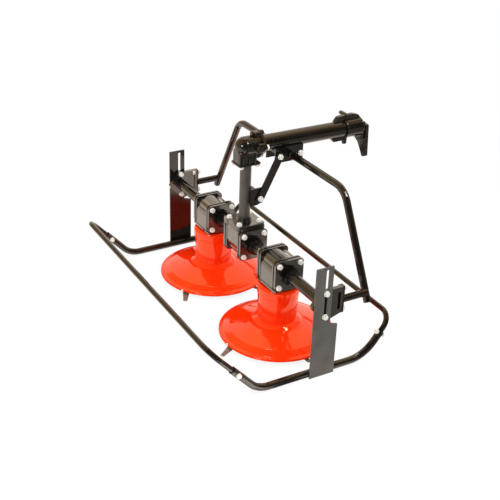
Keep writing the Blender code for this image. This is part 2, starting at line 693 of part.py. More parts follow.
def hitch_tongue(name):
    outline = rounded([(y, TUBE_Z + z) for y, z in TONGUE_OUTLINE], TONGUE_CORNER, 3)
    return finished(name, plate_mesh(outline, TONGUE_T, "YZ", (TONGUE_X - TONGUE_T / 2, 0, 0)), BLACK)


# ---- saddle, strap and column lug --------------------------------------------------------------
def saddle(name):
    """Channel under the drive tube: two cheeks with a cradle, which the hoop passes through."""
    seat_top = TUBE_Z - DRIVE_OD / 4
    seat_low = TUBE_Z - DRIVE_OD / 2 - SADDLE_SEAT_T
    cradle = finished(name, box_mesh((SADDLE_REAR_X, -SADDLE_HALF_W, seat_low),
                                     (SADDLE_FRONT_X, SADDLE_HALF_W, seat_top)), BLACK)
    cheeks = []
    for _, side in SIDES:
        ys = sorted((side * (SADDLE_HALF_W - SADDLE_T), side * SADDLE_HALF_W))
        cheeks.append(box_mesh((SADDLE_REAR_X, ys[0], TUBE_Z - SADDLE_DROP),
                               (SADDLE_FRONT_X, ys[1], seat_top - SUNK)))
    combine(cradle, cheeks, "UNION")
    hoop_z = TUBE_Z - HOOP_DROP
    tube = cylinder_mesh(TUBE_BORE_R, (SADDLE_REAR_X - DRIVE_OD, 0, TUBE_Z),
                         (SADDLE_FRONT_X + DRIVE_OD, 0, TUBE_Z), 32)
    pipe = cylinder_mesh(PIPE_OD / 2 + FIT, (HOOP_X, -SADDLE_HALF_W * 2, hoop_z),
                         (HOOP_X, SADDLE_HALF_W * 2, hoop_z), 16)
    combine(cradle, [tube, pipe], "DIFFERENCE")
    return cradle


def strap(name):
    """Flat strut from the saddle's front bolt down to the lug on the column."""
    top = Vector((SADDLE_BOLT_X, TUBE_Z - SADDLE_BOLT_DROP))
    foot = Vector((STRAP_FOOT_X, AXLE_Z + STRAP_FOOT_RISE))
    along = (foot - top).normalized()
    across = Vector((-along.y, along.x)) * STRAP_W / 2
    ends = top - along * STRAP_W / 2, foot + along * STRAP_W / 2
    outline = [ends[0] + across, ends[1] + across, ends[1] - across, ends[0] - across]
    centre_y = SADDLE_HALF_W + FIT + STRAP_T / 2
    mesh = plate_mesh(rounded(outline, STRAP_W / 3, 4), STRAP_T, "XZ", (0, centre_y, 0))
    return finished(name, mesh, BLACK)


def column_lug(name):
    """Lug plate under the strap's foot, on a web welded to the side of the column."""
    outline = [(LUG_FRONT_X, LUG_LOW), (LUG_FRONT_X, LUG_TOP), (LUG_REAR_X, LUG_TOP),
               (LUG_REAR_X, LUG_CHAMFER_TOP), (LUG_CHAMFER_X, LUG_LOW)]
    outline = [(x, AXLE_Z + z) for x, z in outline]
    plate_y = SADDLE_HALF_W - LUG_T / 2
    lug = finished(name, plate_mesh(outline, LUG_T, "XZ", (0, plate_y, 0)), BLACK)
    web_x = (LUG_FRONT_X + LUG_CHAMFER_X - LUG_WEB_T) / 2
    web = box_mesh((web_x, 0, AXLE_Z + LUG_LOW), (web_x + LUG_WEB_T, plate_y, AXLE_Z + LUG_TOP))
    combine(lug, [web], "UNION")
    hole = cylinder_mesh(COLUMN_OD / 2 + FIT, (0, 0, AXLE_Z), (0, 0, TUBE_Z), 32)
    combine(lug, [hole], "DIFFERENCE")
    return lug


# ---- rotors ------------------------------------------------------------------------------------
DRUM_TOP = BASE_BOTTOM - RUN


def drum(name, parent):
    """Drum shell, closed at the top, with the shaft that comes down from the gearbox."""
    inner = DRUM_R - DRUM_WALL
    shaft_top = BASE_BOTTOM + SHAFT_INSIDE
    profile = [(0, shaft_top), (SHAFT_R, shaft_top), (SHAFT_R, DRUM_TOP), (CAP_R - CAP_CORNER, DRUM_TOP),
               (CAP_R, DRUM_TOP - CAP_CORNER), (CAP_R, CAP_Z), (DRUM_R, CAP_FOOT), (DRUM_R, DRUM_BOTTOM),
               (FLARE_R, FLARE_Z), (inner, FLARE_Z), (inner, DRUM_TOP - DRUM_WALL), (0, DRUM_TOP - DRUM_WALL)]
    return turned(name, profile, RED, (0, 0, 0), parent)


KNIFE_PIVOT_R = DISC_R - KNIFE_INSET


def boss_mesh(x, y, bottom):
    return cylinder_mesh(KNIFE_BOSS_R, (x, y, bottom), (x, y, KNIFE_BOSS_TOP), 16)


def disc(name, parent, phase):
    """Pressed disc on its hub, with a boss, pin and nut for each knife and sweep fins between them."""
    top_z = FLARE_Z - FIT
    rim_r, rim_top = DISC_R, DISC_CURVE[-1][1]
    skin = [(FLARE_R, top_z)] + [(share * DISC_R, height) for share, height in DISC_CURVE]
    upper = [(0, top_z)] + skin + [(rim_r, rim_top - RIM_CORNER), (rim_r, RIM_Z)]
    inside = [(radius, height - DISC_T) for radius, height in reversed(skin[:-1])]
    under = [(rim_r - DISC_T, RIM_Z), (rim_r - DISC_T - RIM_CORNER / 2, rim_top - DISC_T)] + inside
    under += [(HUB_R, top_z - DISC_T), (HUB_R, HUB_BOTTOM), (0, HUB_BOTTOM)]
    obj = turned(name, upper + under, RED, (0, 0, 0), parent, 64)
    forms = []
    boss_bottom = KNIFE_Z + KNIFE_T + KNIFE_GAP
    nut_top = KNIFE_Z - KNIFE_GAP
    for index in range(KNIVES):
        angle = phase + math.tau * index / KNIVES
        x, y = KNIFE_PIVOT_R * math.cos(angle), KNIFE_PIVOT_R * math.sin(angle)
        forms.append(boss_mesh(x, y, boss_bottom))
        forms.append(cylinder_mesh(KNIFE_PIN_R, (x, y, nut_top - SUNK), (x, y, boss_bottom + SUNK), 12))
        forms.append(cylinder_mesh(KNIFE_NUT_R, (x, y, KNIFE_NUT_Z), (x, y, nut_top), 6))
        fin_end = DISC_R + FIN_OVERHANG
        fin = box_mesh((fin_end - FIN_L, -FIN_W / 2, KNIFE_Z), (fin_end, FIN_W / 2, KNIFE_Z + FIN_T))
        for form in (fin, boss_mesh(KNIFE_PIVOT_R, 0, KNIFE_Z + FIN_T / 2)):
            form.transform(Matrix.Rotation(angle + FIN_ANGLE, 4, "Z"))
            forms.append(form)
    combine(obj, forms, "UNION")
    return obj


def knife_mesh():
    """One blade along +X from its pin hole, tapered towards its tip."""
    half, tip, heel = KNIFE_W / 2, KNIFE_TIP_W / 2, KNIFE_W / 4
    outline = [(-half, -half), (heel, -half), (KNIFE_REACH, -tip), (KNIFE_REACH, tip), (heel, half),
               (-half, half)]
    corner = half * 0.8
    outline = rounded(outline, [corner, 0, KNIFE_TIP_CORNER, KNIFE_TIP_CORNER, 0, corner], 3)
    return plate_mesh(outline, KNIFE_T, "XY", (0, 0, KNIFE_T / 2), [circle(KNIFE_HOLE_R, (0, 0), 12)])


def rotor(side_name, side, phase, swing):
    spindle = bpy.data.objects.new(side_name + "_rotor_axis", None)
    mower.objects.link(spindle)
    place(spindle, (DRUM_X, side * DRUM_PITCH / 2, 0))
    drum(side_name + "_drum", spindle)
    disc(side_name + "_disc", spindle, phase)
    for index in range(KNIVES):
        angle = phase + math.tau * index / KNIVES
        name = f"{side_name}_knife_{index + 1}"
        spot = (KNIFE_PIVOT_R * math.cos(angle), KNIFE_PIVOT_R * math.sin(angle), KNIFE_Z)
        knife = finished(name, knife_mesh(), STEEL, spot, spindle)
        knife.rotation_euler.z = angle + swing


# ---- assembly ----------------------------------------------------------------------------------
LEFT_Y, RIGHT_Y = DRUM_PITCH / 2, -DRUM_PITCH / 2

drive_tube("drive_tube")
hitch_sleeve("hitch_sleeve")
hitch_tongue("hitch_tongue")
elbow("elbow_gearbox")
column("column")
housing("center_gearbox", 0, -1)
housing("left_gearbox", LEFT_Y, 1)
housing("right_gearbox", RIGHT_Y, 1)
neck("left_shaft_housing", BOX_OUTER + FIT, LEFT_Y + BOX_INNER - FIT)
neck("right_shaft_housing", RIGHT_Y + BOX_OUTER + FIT, BOX_INNER - FIT)
neck("left_side_tube", LEFT_Y + BOX_OUTER + FIT, BRACKET_INNER_Y - FIT, stepped_end=False)
neck("right_side_tube", RIGHT_Y + BOX_INNER - FIT, -(BRACKET_INNER_Y - FIT), stepped_end=False)
hoop("hoop")
saddle("saddle_bracket")
strap("strut_strap")
column_lug("column_lug")
cross_bar("front_bar", True)
cross_bar("rear_bar", False)
for side_name, side in SIDES:
    end_bracket(side_name + "_end_bracket", side)
    hoop_arm(side_name + "_hoop_arm", side)
    skid_plate(side_name + "_skid_plate", side)
    side_rail(side_name + "_side_rail", side)
rotor("left", 1, LEFT_PHASE, LEFT_SWING)
rotor("right", -1, RIGHT_PHASE, RIGHT_SWING)
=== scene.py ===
"""Looks of the two-drum rotary mower: castings, bolts, welds, enamels, floor, lights and camera."""

import json
import math

import bmesh
import bpy
from mathutils import Matrix, Vector

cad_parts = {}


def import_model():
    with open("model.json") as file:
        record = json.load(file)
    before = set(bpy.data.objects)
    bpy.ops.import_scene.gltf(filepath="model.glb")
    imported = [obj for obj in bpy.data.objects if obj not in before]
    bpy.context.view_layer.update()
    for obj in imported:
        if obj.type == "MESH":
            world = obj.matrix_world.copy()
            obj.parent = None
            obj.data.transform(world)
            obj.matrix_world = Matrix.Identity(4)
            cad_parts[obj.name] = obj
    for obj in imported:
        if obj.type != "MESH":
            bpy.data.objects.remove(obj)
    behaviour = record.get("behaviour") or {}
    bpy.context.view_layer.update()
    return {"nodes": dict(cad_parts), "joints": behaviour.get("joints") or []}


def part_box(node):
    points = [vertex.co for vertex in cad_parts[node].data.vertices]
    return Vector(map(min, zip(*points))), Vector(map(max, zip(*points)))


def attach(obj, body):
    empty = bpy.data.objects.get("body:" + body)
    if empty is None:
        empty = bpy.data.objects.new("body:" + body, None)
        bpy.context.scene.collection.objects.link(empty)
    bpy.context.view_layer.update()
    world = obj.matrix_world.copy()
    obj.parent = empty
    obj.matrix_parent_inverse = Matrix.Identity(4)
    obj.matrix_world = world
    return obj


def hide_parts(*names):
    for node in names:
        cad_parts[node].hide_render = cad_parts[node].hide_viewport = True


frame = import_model()
NODES = frame["nodes"]
MM = 0.001


def middle(node):
    """The middle of a CAD node's box."""
    low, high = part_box(node)
    return (low + high) / 2


# ---- places taken from the frame ----
AXLE = Vector((middle("left_side_tube").x, 0, middle("left_side_tube").z))
TUBE_Z = middle("drive_tube").z
COLUMN_X = middle("column").x
BOX_CENTRES = {"center_gearbox": 0.0, "left_gearbox": middle("left_drum").y,
               "right_gearbox": middle("right_drum").y}
DRUM_X = middle("left_drum").x
BASE_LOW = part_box("left_gearbox")[0].z
SEAT_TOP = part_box("center_gearbox")[1].z
FLANGE_HALF = (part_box("center_gearbox")[1].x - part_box("center_gearbox")[0].x) / 2
BOX_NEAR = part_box("center_gearbox")[1].y      # ends of a gearbox from its own drum's axis
BOX_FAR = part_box("center_gearbox")[0].y


# ---- colours and material nodes ----
def linear(code):
    """An sRGB hex colour as linear RGBA."""
    parts = [int(code[i:i + 2], 16) / 255 for i in (1, 3, 5)]
    return tuple(c / 12.92 if c <= 0.04045 else ((c + 0.055) / 1.055) ** 2.4 for c in parts) + (1.0,)


def add(tree, kind, settings=None, inputs=None):
    """A node with its settings, and its sockets set to values or linked to other nodes' outputs."""
    node = tree.nodes.new("ShaderNode" + kind)
    for name, value in (settings or {}).items():
        setattr(node, name, value)
    for name, value in (inputs or {}).items():
        if isinstance(value, bpy.types.NodeSocket):
            tree.links.new(value, node.inputs[name])
        else:
            node.inputs[name].default_value = value
    return node


def new_material(name, **sockets):
    """A material with constant values set on its shader."""
    mat = bpy.data.materials.new(name)
    mat.use_nodes = True
    shader = mat.node_tree.nodes["Principled BSDF"]
    for socket, value in sockets.items():
        shader.inputs[socket.replace("_", " ")].default_value = value
    return mat, mat.node_tree, shader


def patchy(tree, shader, size, dark, light, detail=3.0):
    """Base colour that drifts between two shades in patches about size across."""
    place = add(tree, "TexCoord").outputs["Object"]
    cloud = add(tree, "TexNoise", inputs={"Vector": place, "Scale": 1 / size, "Detail": detail})
    share = add(tree, "MapRange", inputs={"Value": cloud.outputs["Fac"], "From Min": 0.3, "From Max": 0.7})
    shade = add(tree, "Mix", {"data_type": "RGBA"},
                {0: share.outputs["Result"], 6: linear(dark), 7: linear(light)})
    tree.links.new(shade.outputs[2], shader.inputs["Base Color"])


def wiped(tree, shader, size, low, high, detail=3.0):
    """Roughness that drifts between two values in patches about size across."""
    place = add(tree, "TexCoord").outputs["Object"]
    cloud = add(tree, "TexNoise", inputs={"Vector": place, "Scale": 1 / size, "Detail": detail})
    level = add(tree, "MapRange", inputs={"Value": cloud.outputs["Fac"], "From Min": 0.3, "From Max": 0.7,
                                          "To Min": low, "To Max": high})
    tree.links.new(level.outputs["Result"], shader.inputs["Roughness"])


def grainy(tree, shader, size, depth, detail=2.0):
    """Bumps about size across and depth high."""
    place = add(tree, "TexCoord").outputs["Object"]
    cloud = add(tree, "TexNoise", inputs={"Vector": place, "Scale": 1 / size, "Detail": detail})
    relief = add(tree, "Bump", inputs={"Height": cloud.outputs["Fac"], "Distance": depth})
    tree.links.new(relief.outputs["Normal"], shader.inputs["Normal"])


def baked_enamel():
    # Oven-baked black enamel on drawn steel tube and rolled plate: warm near-black with clear reflections.
    # The 6 mm waves are real orange peel drawn coarser than it is, so that the reflections waver a little.
    mat, tree, shader = new_material("baked black enamel on steel tube", IOR=1.7)
    patchy(tree, shader, 60 * MM, "#0D0B0A", "#15120F")
    wiped(tree, shader, 25 * MM, 0.07, 0.14)
    grainy(tree, shader, 6 * MM, 0.012 * MM, 1)
    return mat


def satin_enamel():
    # The same enamel rubbed dull on the upright column: a broad soft reflection down the tube.
    mat, tree, shader = new_material("rubbed black enamel on the column", IOR=1.6)
    patchy(tree, shader, 30 * MM, "#35312C", "#433F39")
    wiped(tree, shader, 15 * MM, 0.28, 0.40)
    return mat


def cast_enamel():
    # Thick gloss enamel over sand-cast iron: the casting's grain shows through the shine.
    # Real sand grain is under 1 mm across, drawn 2.2 mm so that it shows at all.
    mat, tree, shader = new_material("black gloss enamel on sand-cast iron", IOR=1.7, Coat_Weight=1.0,
                                     Coat_Roughness=0.08, Coat_IOR=1.75)
    patchy(tree, shader, 30 * MM, "#0E0C0B", "#1C1916", 4)
    wiped(tree, shader, 12 * MM, 0.12, 0.28, 4)
    grainy(tree, shader, 2.2 * MM, 0.07 * MM, 3)
    return mat


def plate_paint():
    # Dull dark grey paint sprayed on laser-cut sheet steel, with faint cloudy patches.
    # The 2 mm spray texture is drawn coarser than the real one so that it softens the light.
    mat, tree, shader = new_material("satin grey paint on sheet steel", IOR=1.5)
    patchy(tree, shader, 45 * MM, "#494542", "#56524D", 5)
    wiped(tree, shader, 8 * MM, 0.42, 0.6, 4)
    grainy(tree, shader, 2 * MM, 0.06 * MM)
    return mat


def red_enamel():
    # High-gloss red-orange enamel on spun steel: strong colour under a mirror-like lacquer with an
    # amber cast. The faint 14 mm waves are left by the spinning and show in the reflections.
    mat, tree, shader = new_material("red gloss enamel on spun steel", IOR=1.65,
                                     Specular_Tint=(1.0, 0.98, 0.60, 1.0))
    patchy(tree, shader, 90 * MM, "#F22A03", "#F83006", 2)
    wiped(tree, shader, 30 * MM, 0.03, 0.06, 2)
    grainy(tree, shader, 14 * MM, 0.03 * MM, 1)
    return mat


def zinc():
    # Bright zinc plating on machined bolts, washers and nuts: almost white, with slightly darker specks,
    # drawn 2 mm across, coarser than real, so that they show.
    mat, tree, shader = new_material("bright zinc plating on bolts", Metallic=0.35)
    patchy(tree, shader, 2 * MM, "#D9D6CB", "#FBFAF6")
    wiped(tree, shader, 3 * MM, 0.25, 0.40, 2)
    return mat


def knife_steel():
    # Hardened, oiled knife steel as rolled: a dull brown-grey scale in patches of two shades.
    # Mill scale is finer than 1.5 mm, drawn coarse enough to break up the reflection.
    mat, tree, shader = new_material("oiled rolled knife steel", Metallic=0.7)
    patchy(tree, shader, 10 * MM, "#80746A", "#A3968B", 4)
    wiped(tree, shader, 4 * MM, 0.4, 0.6)
    grainy(tree, shader, 1.5 * MM, 0.05 * MM)
    return mat


def painted_shade_in_gaps():
    # Painted shade: a dull, nearly black sheet down inside joints and slots, where the shade is deep.
    mat, tree, shader = new_material("painted shade inside joints and slots", Roughness=0.9, IOR=1.3)
    patchy(tree, shader, 5 * MM, "#050404", "#0B0908")
    return mat


BLACK = baked_enamel()
SATIN = satin_enamel()
CAST = cast_enamel()
GREY = plate_paint()
RED = red_enamel()
ZINC = zinc()
KNIFE = knife_steel()
SHADE = painted_shade_in_gaps()


# ---- meshes ----
ALONG_X = Matrix.Rotation(math.pi / 2, 4, "Y")        # turns a +Z shape to point along +X
ALONG_Y = Matrix.Rotation(-math.pi / 2, 4, "X")       # and along +Y
DOWNWARD = Matrix.Rotation(math.pi, 4, "X")           # and along -Z
UPRIGHT = Matrix(((1, 0, 0, 0), (0, 0, -1, 0), (0, 1, 0, 0), (0, 0, 0, 1)))   # outline x, z facing -Y
CROSSWISE = Matrix(((0, 0, 1, 0), (1, 0, 0, 0), (0, 1, 0, 0), (0, 0, 0, 1)))  # outline y, z facing +X
EDGE_ANGLE = math.radians(32)                         # edges sharper than this stay sharp or get rounded


def at(*place):
    """A shift to a place."""
    return Matrix.Translation(place)


def rounded(points, radius, steps=6):
    """A closed outline with each corner replaced by an arc."""
    points = [Vector(point) for point in points]
    radii = radius if isinstance(radius, (list, tuple)) else [radius] * len(points)
    result = []
    for index, corner in enumerate(points):
        if radii[index] <= 0:
            result.append(corner)
            continue
        back = (points[index - 1] - corner).normalized()
        ahead = (points[(index + 1) % len(points)] - corner).normalized()
        half = back.angle(ahead) / 2
        centre = corner + (back + ahead).normalized() * (radii[index] / math.sin(half))
        start = corner + back * (radii[index] / math.tan(half)) - centre
        stop = corner + ahead * (radii[index] / math.tan(half)) - centre
        sweep = start.angle(stop)
        for step in range(steps + 1):
            part = sweep * step / steps
            arc = start * math.sin(sweep - part) + stop * math.sin(part)
            result.append(centre + arc / math.sin(sweep))
    return result


def rectangle(width, height, x=0.0, y=0.0):
    """The corners of a rectangle about (x, y)."""
    return [(x + sx * width / 2, y + sy * height / 2) for sx, sy in ((1, 1), (-1, 1), (-1, -1), (1, -1))]


def loft(bm, loops, matrix=Matrix()):
    """Faces between loops of equal length, closed at both ends."""
    rings = [[bm.verts.new(matrix @ Vector(point)) for point in loop] for loop in loops]
    count = len(rings[0])
    for lower, upper in zip(rings, rings[1:]):
        for i in range(count):
            j = (i + 1) % count
            bm.faces.new((lower[i], lower[j], upper[j], upper[i]))
    bm.faces.new(list(reversed(rings[0])))
    bm.faces.new(rings[-1])


def prism(bm, outline, thickness, matrix=Matrix()):
    """A flat outline given a thickness about its own plane."""
    loops = [[(p[0], p[1], z) for p in outline] for z in (-thickness / 2, thickness / 2)]
    loft(bm, loops, matrix)


def lathe(bm, profile, matrix=Matrix(), sides=48):
    """(radius, height) points turned about Z. Points on the axis close the shape."""
    turns = [(math.cos(math.tau * i / sides), math.sin(math.tau * i / sides)) for i in range(sides)]
    rings = []
    for radius, height in profile:
        if radius < 1e-6:
            rings.append([bm.verts.new(matrix @ Vector((0, 0, height)))])
        else:
            rings.append([bm.verts.new(matrix @ Vector((radius * c, radius * s, height))) for c, s in turns])
    for lower, upper in zip(rings, rings[1:]):
        for i in range(sides):
            j = (i + 1) % sides
            corners = [lower[i % len(lower)], lower[j % len(lower)]]
            corners += [upper[j % len(upper)], upper[i % len(upper)]]
            corners = list(dict.fromkeys(corners))
            if len(corners) > 2:
                bm.faces.new(corners)


def disk(bm, radius, low, high, matrix, sides=24):
    """A short round bar between two heights."""
    lathe(bm, [(0, low), (radius, low), (radius, high), (0, high)], matrix, sides)


def piece(name, bm, material, body, bevel=0.0, replaces=(), angle=EDGE_ANGLE):
    """The mesh as an object with smooth shading, small round edges, and a body to ride on."""
    bmesh.ops.recalc_face_normals(bm, faces=bm.faces)
    mesh = bpy.data.meshes.new(name)
    bm.to_mesh(mesh)
    bm.free()
    mesh.materials.append(material)
    mesh.shade_smooth()
    mesh.set_sharp_from_angle(angle=angle)
    obj = bpy.data.objects.new(name, mesh)
    bpy.context.scene.collection.objects.link(obj)
    if bevel:
        round_edges(obj, bevel)
    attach(obj, body)
    if replaces:
        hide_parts(*replaces)


def round_edges(obj, width):
    """Small rounded edges that keep the flat faces flat."""
    step = obj.modifiers.new("round edges", "BEVEL")
    step.width = width
    step.segments = 2
    step.limit_method = "ANGLE"
    step.angle_limit = EDGE_ANGLE
    step.harden_normals = True
    step.use_clamp_overlap = True


def dress(node, material, bevel):
    """A CAD node that is shown as it is, with its real finish."""
    obj = NODES[node]
    obj.data.materials.clear()
    obj.data.materials.append(material)
    obj.data.shade_smooth()
    obj.data.set_sharp_from_angle(angle=EDGE_ANGLE)
    round_edges(obj, bevel)


# ---- bolts and welds ----
M8 = {"flats": 13 * MM, "head": 5.5 * MM, "washer": 8.4 * MM, "washer_t": 1.6 * MM, "shank": 4 * MM}
NUT_HEIGHT = 1.15         # of a bolt head's
BOLT_TURN = 0.3           # radians that a head has come to rest off square
HEX_STEPS = 24            # points round a hex head
CHAMFER_SLOPE = 0.58      # the turned corners of a hex head fall at 30 degrees
THREAD_PITCH = 1.25 * MM
RIPPLE = 2.2 * MM         # length of one ripple along a weld


def hexagon(bm, flats, height, matrix):
    """A hex head or nut from z 0 up, its top corners turned off."""
    half = flats / 2
    top = half * 0.93
    loops = [[], [], [], []]
    for i in range(HEX_STEPS):
        angle = math.tau * i / HEX_STEPS
        radius = half / math.cos((angle + math.pi / 6) % (math.pi / 3) - math.pi / 6)
        way = Vector((math.cos(angle), math.sin(angle), 0))
        loops[0].append(way * radius)
        loops[1].append(way * radius + Vector((0, 0, height - (radius - top) * CHAMFER_SLOPE)))
        loops[2].append(way * top + Vector((0, 0, height)))
        loops[3].append(way * top * 0.8 + Vector((0, 0, height)))
    loft(bm, loops, matrix)


def bolt(bm, place, way, grip=None, size=M8, tail=9 * MM):
    """Head and washer on a face at place, looking along way. grip is the depth to the nut behind."""
    turn = Vector(way).normalized().to_track_quat("Z", "X").to_matrix().to_4x4()
    matrix = at(*place) @ turn @ Matrix.Rotation(BOLT_TURN, 4, "Z")
    washer = size["washer"]
    thick = size["washer_t"]
    profile = [(0, 0), (washer, 0), (washer, thick * 0.7), (washer - thick * 0.3, thick), (0, thick)]
    lathe(bm, profile, matrix, 24)
    hexagon(bm, size["flats"], size["head"], matrix @ at(0, 0, thick))
    if grip is not None:
        back = matrix @ at(0, 0, -grip) @ DOWNWARD
        disk(bm, washer, 0, thick, back)
        hexagon(bm, size["flats"], size["head"] * NUT_HEIGHT, back @ at(0, 0, thick))
        stud(bm, back, size["shank"], tail)


def stud(bm, matrix, radius, length):
    """Bare thread end: a bar with shallow rings."""
    turns = max(2, int(length / THREAD_PITCH))
    profile = [(0, 0)]
    for i in range(turns):
        profile += [(radius * 0.88, i * THREAD_PITCH), (radius, (i + 0.5) * THREAD_PITCH)]
    profile += [(radius * 0.8, turns * THREAD_PITCH), (0, turns * THREAD_PITCH)]
    lathe(bm, profile, matrix, 16)


def weld(bm, centre, way, radius, size):
    """A rippled bead round a tube, size being the bead's own radius."""
    way = Vector(way).normalized()
    across = way.orthogonal().normalized()
    other = way.cross(across)
    steps = max(24, int(math.tau * radius / RIPPLE))
    turns = [math.tau * i / steps for i in range(steps)]
    path = [Vector(centre) + (across * math.cos(a) + other * math.sin(a)) * radius for a in turns]
    bead(bm, path, [size * (1.0 if i % 2 else 0.86) for i in range(steps)])


def bead(bm, path, radii, sides=8):
    """A round bar along a closed path, with a radius for each point."""
    count = len(path)
    rings = []
    across = None
    for i, point in enumerate(path):
        way = (path[(i + 1) % count] - path[i - 1]).normalized()
        if across is None:
            across = way.orthogonal().normalized()
        across = (across - way * across.dot(way)).normalized()
        other = way.cross(across)
        turns = [math.tau * k / sides for k in range(sides)]
        rings.append([bm.verts.new(point + (across * math.cos(a) + other * math.sin(a)) * radii[i])
                      for a in turns])
    for lower, upper in zip(rings, rings[1:] + rings[:1]):
        for k in range(sides):
            j = (k + 1) % sides
            bm.faces.new((lower[k], lower[j], upper[j], upper[k]))


# ---- gearboxes ----
OUTER_LEAF = 9 * MM       # each end of a gearbox has two square flanges with a gap between them
LEAF_GAP = 4.5 * MM
INNER_LEAF = 6 * MM
FLANGE_CORNER = 13 * MM
CORE_INSET = 7 * MM       # the square core lies this far inside the flanges' edges
BODY_R = 44.5 * MM
ARCH_STEPS = 28
BASE_T = 8 * MM
BASE_CORNER = 5 * MM
BOX_BOLT = 33.5 * MM      # corner bolts from the shaft's axis
COLUMN_BOLT = 30 * MM     # bolts of the column's foot plate, across the machine
COLUMN_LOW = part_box("column")[0].z
COLUMN_PLATE_TOP = COLUMN_LOW + 8 * MM
ARCH_RIBS = (10 * MM, 19 * MM)    # cast ribs along the left gearbox's arch, ahead of its crown
RIB_W = 3 * MM
RIB_T = 6 * MM
RIB_SHORT = 4 * MM        # the ribs are this much shorter than the body


def square_outline(inset=0.0):
    """A gearbox flange's outline, or one that lies inside it."""
    width = (FLANGE_HALF - inset) * 2
    return rounded(rectangle(width, width), FLANGE_CORNER, 6)


def flanges(bm, end, inward):
    """The two square flanges at one end of a gearbox, from its outer face inwards."""
    for start, thickness in ((0, OUTER_LEAF), (OUTER_LEAF + LEAF_GAP, INNER_LEAF)):
        place = at(AXLE.x, end + inward * (start + thickness / 2), AXLE.z)
        prism(bm, square_outline(), thickness, place @ UPRIGHT)


def gearbox_casting(node, way):
    """Cast housing with its arch up (way 1) over a drum, or down (way -1) under the column."""
    centre = BOX_CENTRES[node]
    near = centre + BOX_NEAR
    far = centre + BOX_FAR
    middle_y = (near + far) / 2
    length = near - far
    place = at(AXLE.x, middle_y, AXLE.z) @ UPRIGHT
    bm = bmesh.new()
    flanges(bm, near, -1)
    flanges(bm, far, 1)
    turns = [math.pi * i / ARCH_STEPS for i in range(ARCH_STEPS + 1)]
    outline = [(BODY_R * math.cos(a), way * BODY_R * math.sin(a)) for a in turns]
    outline += [(-BODY_R, -way * BODY_R), (BODY_R, -way * BODY_R)]
    body_length = length - 2 * (OUTER_LEAF + LEAF_GAP + INNER_LEAF / 2)
    prism(bm, outline, body_length, place)
    prism(bm, square_outline(CORE_INSET), length - OUTER_LEAF, place)
    if way > 0:
        base = rounded(rectangle(FLANGE_HALF * 2, length - MM), BASE_CORNER, 4)
        prism(bm, base, BASE_T, at(AXLE.x, middle_y, BASE_LOW + BASE_T / 2))
    else:
        seat_end = centre + FLANGE_HALF
        base = rounded(rectangle(FLANGE_HALF * 2, seat_end - far), BASE_CORNER, 4)
        prism(bm, base, BASE_T, at(AXLE.x, (seat_end + far) / 2, SEAT_TOP - BASE_T / 2))
    if node == "left_gearbox":
        for x in ARCH_RIBS:
            top = math.sqrt(BODY_R ** 2 - x ** 2)
            rib = rounded(rectangle(RIB_W, body_length - RIB_SHORT), 1.4 * MM, 3)
            prism(bm, rib, RIB_T, at(AXLE.x + x, middle_y, AXLE.z + top))
    piece(node + "_casting", bm, CAST, "mower_unit", 1.3 * MM, [node])


def gearbox_bolts(node, under_column):
    """Bolts through the flanges' corners, and through the column's foot plate where that stands on it."""
    centre = BOX_CENTRES[node]
    bm = bmesh.new()
    for dx in (-BOX_BOLT, BOX_BOLT):
        for dz in (-BOX_BOLT, BOX_BOLT):
            bolt(bm, (AXLE.x + dx, centre + BOX_NEAR, AXLE.z + dz), (0, 1, 0))
            bolt(bm, (AXLE.x + dx, centre + BOX_FAR, AXLE.z + dz), (0, -1, 0))
    if under_column:
        for dx in (-BOX_BOLT, BOX_BOLT):
            for dy in (-COLUMN_BOLT, COLUMN_BOLT):
                bolt(bm, (AXLE.x + dx, centre + dy, COLUMN_PLATE_TOP), (0, 0, 1))
    piece(node + "_bolts", bm, ZINC, "mower_unit")


# ---- elbow ----
ELBOW_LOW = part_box("elbow_gearbox")[0].z
ELBOW_REAR = COLUMN_X - 38 * MM
ELBOW_R = 29 * MM                 # barrel about the drive tube's axis
ELBOW_NOSE = COLUMN_X + 6 * MM    # middle of the barrel's domed end
FOOT_SIZE = (71.5 * MM, 55 * MM)
FOOT_T = 5 * MM
FOOT_CORNER = 7 * MM
FOOT_BOLT = (27 * MM, 20 * MM)
ELBOW_BODY = (58 * MM, 46 * MM)
ELBOW_BODY_X = COLUMN_X + 4 * MM
BODY_LEVELS = (0, 8, 16, 22, 26, 30, 34, 38, 42, 46)    # heights above the foot in mm
BODY_SQUARENESS = 10              # power that makes the body's outline a square with small corners
SHOULDER_SLOPE = 0.715            # how much the coned shoulder draws in with height
ELBOW_RIBS = (-17 * MM, 2 * MM, 21 * MM)     # upright ribs on both sides of the body
ELBOW_RIB = (5 * MM, 7 * MM)
ELBOW_RIB_H = 24 * MM
EAR_L = 18 * MM
EAR_W = 27 * MM
EAR_H = 26 * MM
EAR_MIDDLE = 27 * MM              # from the drive tube's axis
EAR_CORNER = 7 * MM
EAR_BOLT = 34 * MM                # ear bolts from the drive tube's axis
TUBE_FLANGE_T = 8.3 * MM          # the drive tube's flange, bolted to the ears


def elbow_body(bm, floor_z):
    """Square body whose top is cut to a cone under the barrel."""
    turns = [math.tau * (i + 0.5) / 72 for i in range(72)]
    loops = []
    for level in BODY_LEVELS:
        z = floor_z + level * MM
        cone = ELBOW_R + SHOULDER_SLOPE * (TUBE_Z - z)
        loop = []
        for c, s in [(math.cos(a), math.sin(a)) for a in turns]:
            share = (abs(c) / (ELBOW_BODY[0] / 2)) ** BODY_SQUARENESS
            share += (abs(s) / (ELBOW_BODY[1] / 2)) ** BODY_SQUARENESS
            corner = share ** (-1 / BODY_SQUARENESS)
            x = ELBOW_BODY_X + corner * c - COLUMN_X
            y = corner * s
            shrink = min(1.0, cone / math.hypot(x, y))
            loop.append((COLUMN_X + x * shrink, y * shrink, z))
        loops.append(loop)
    loft(bm, loops)


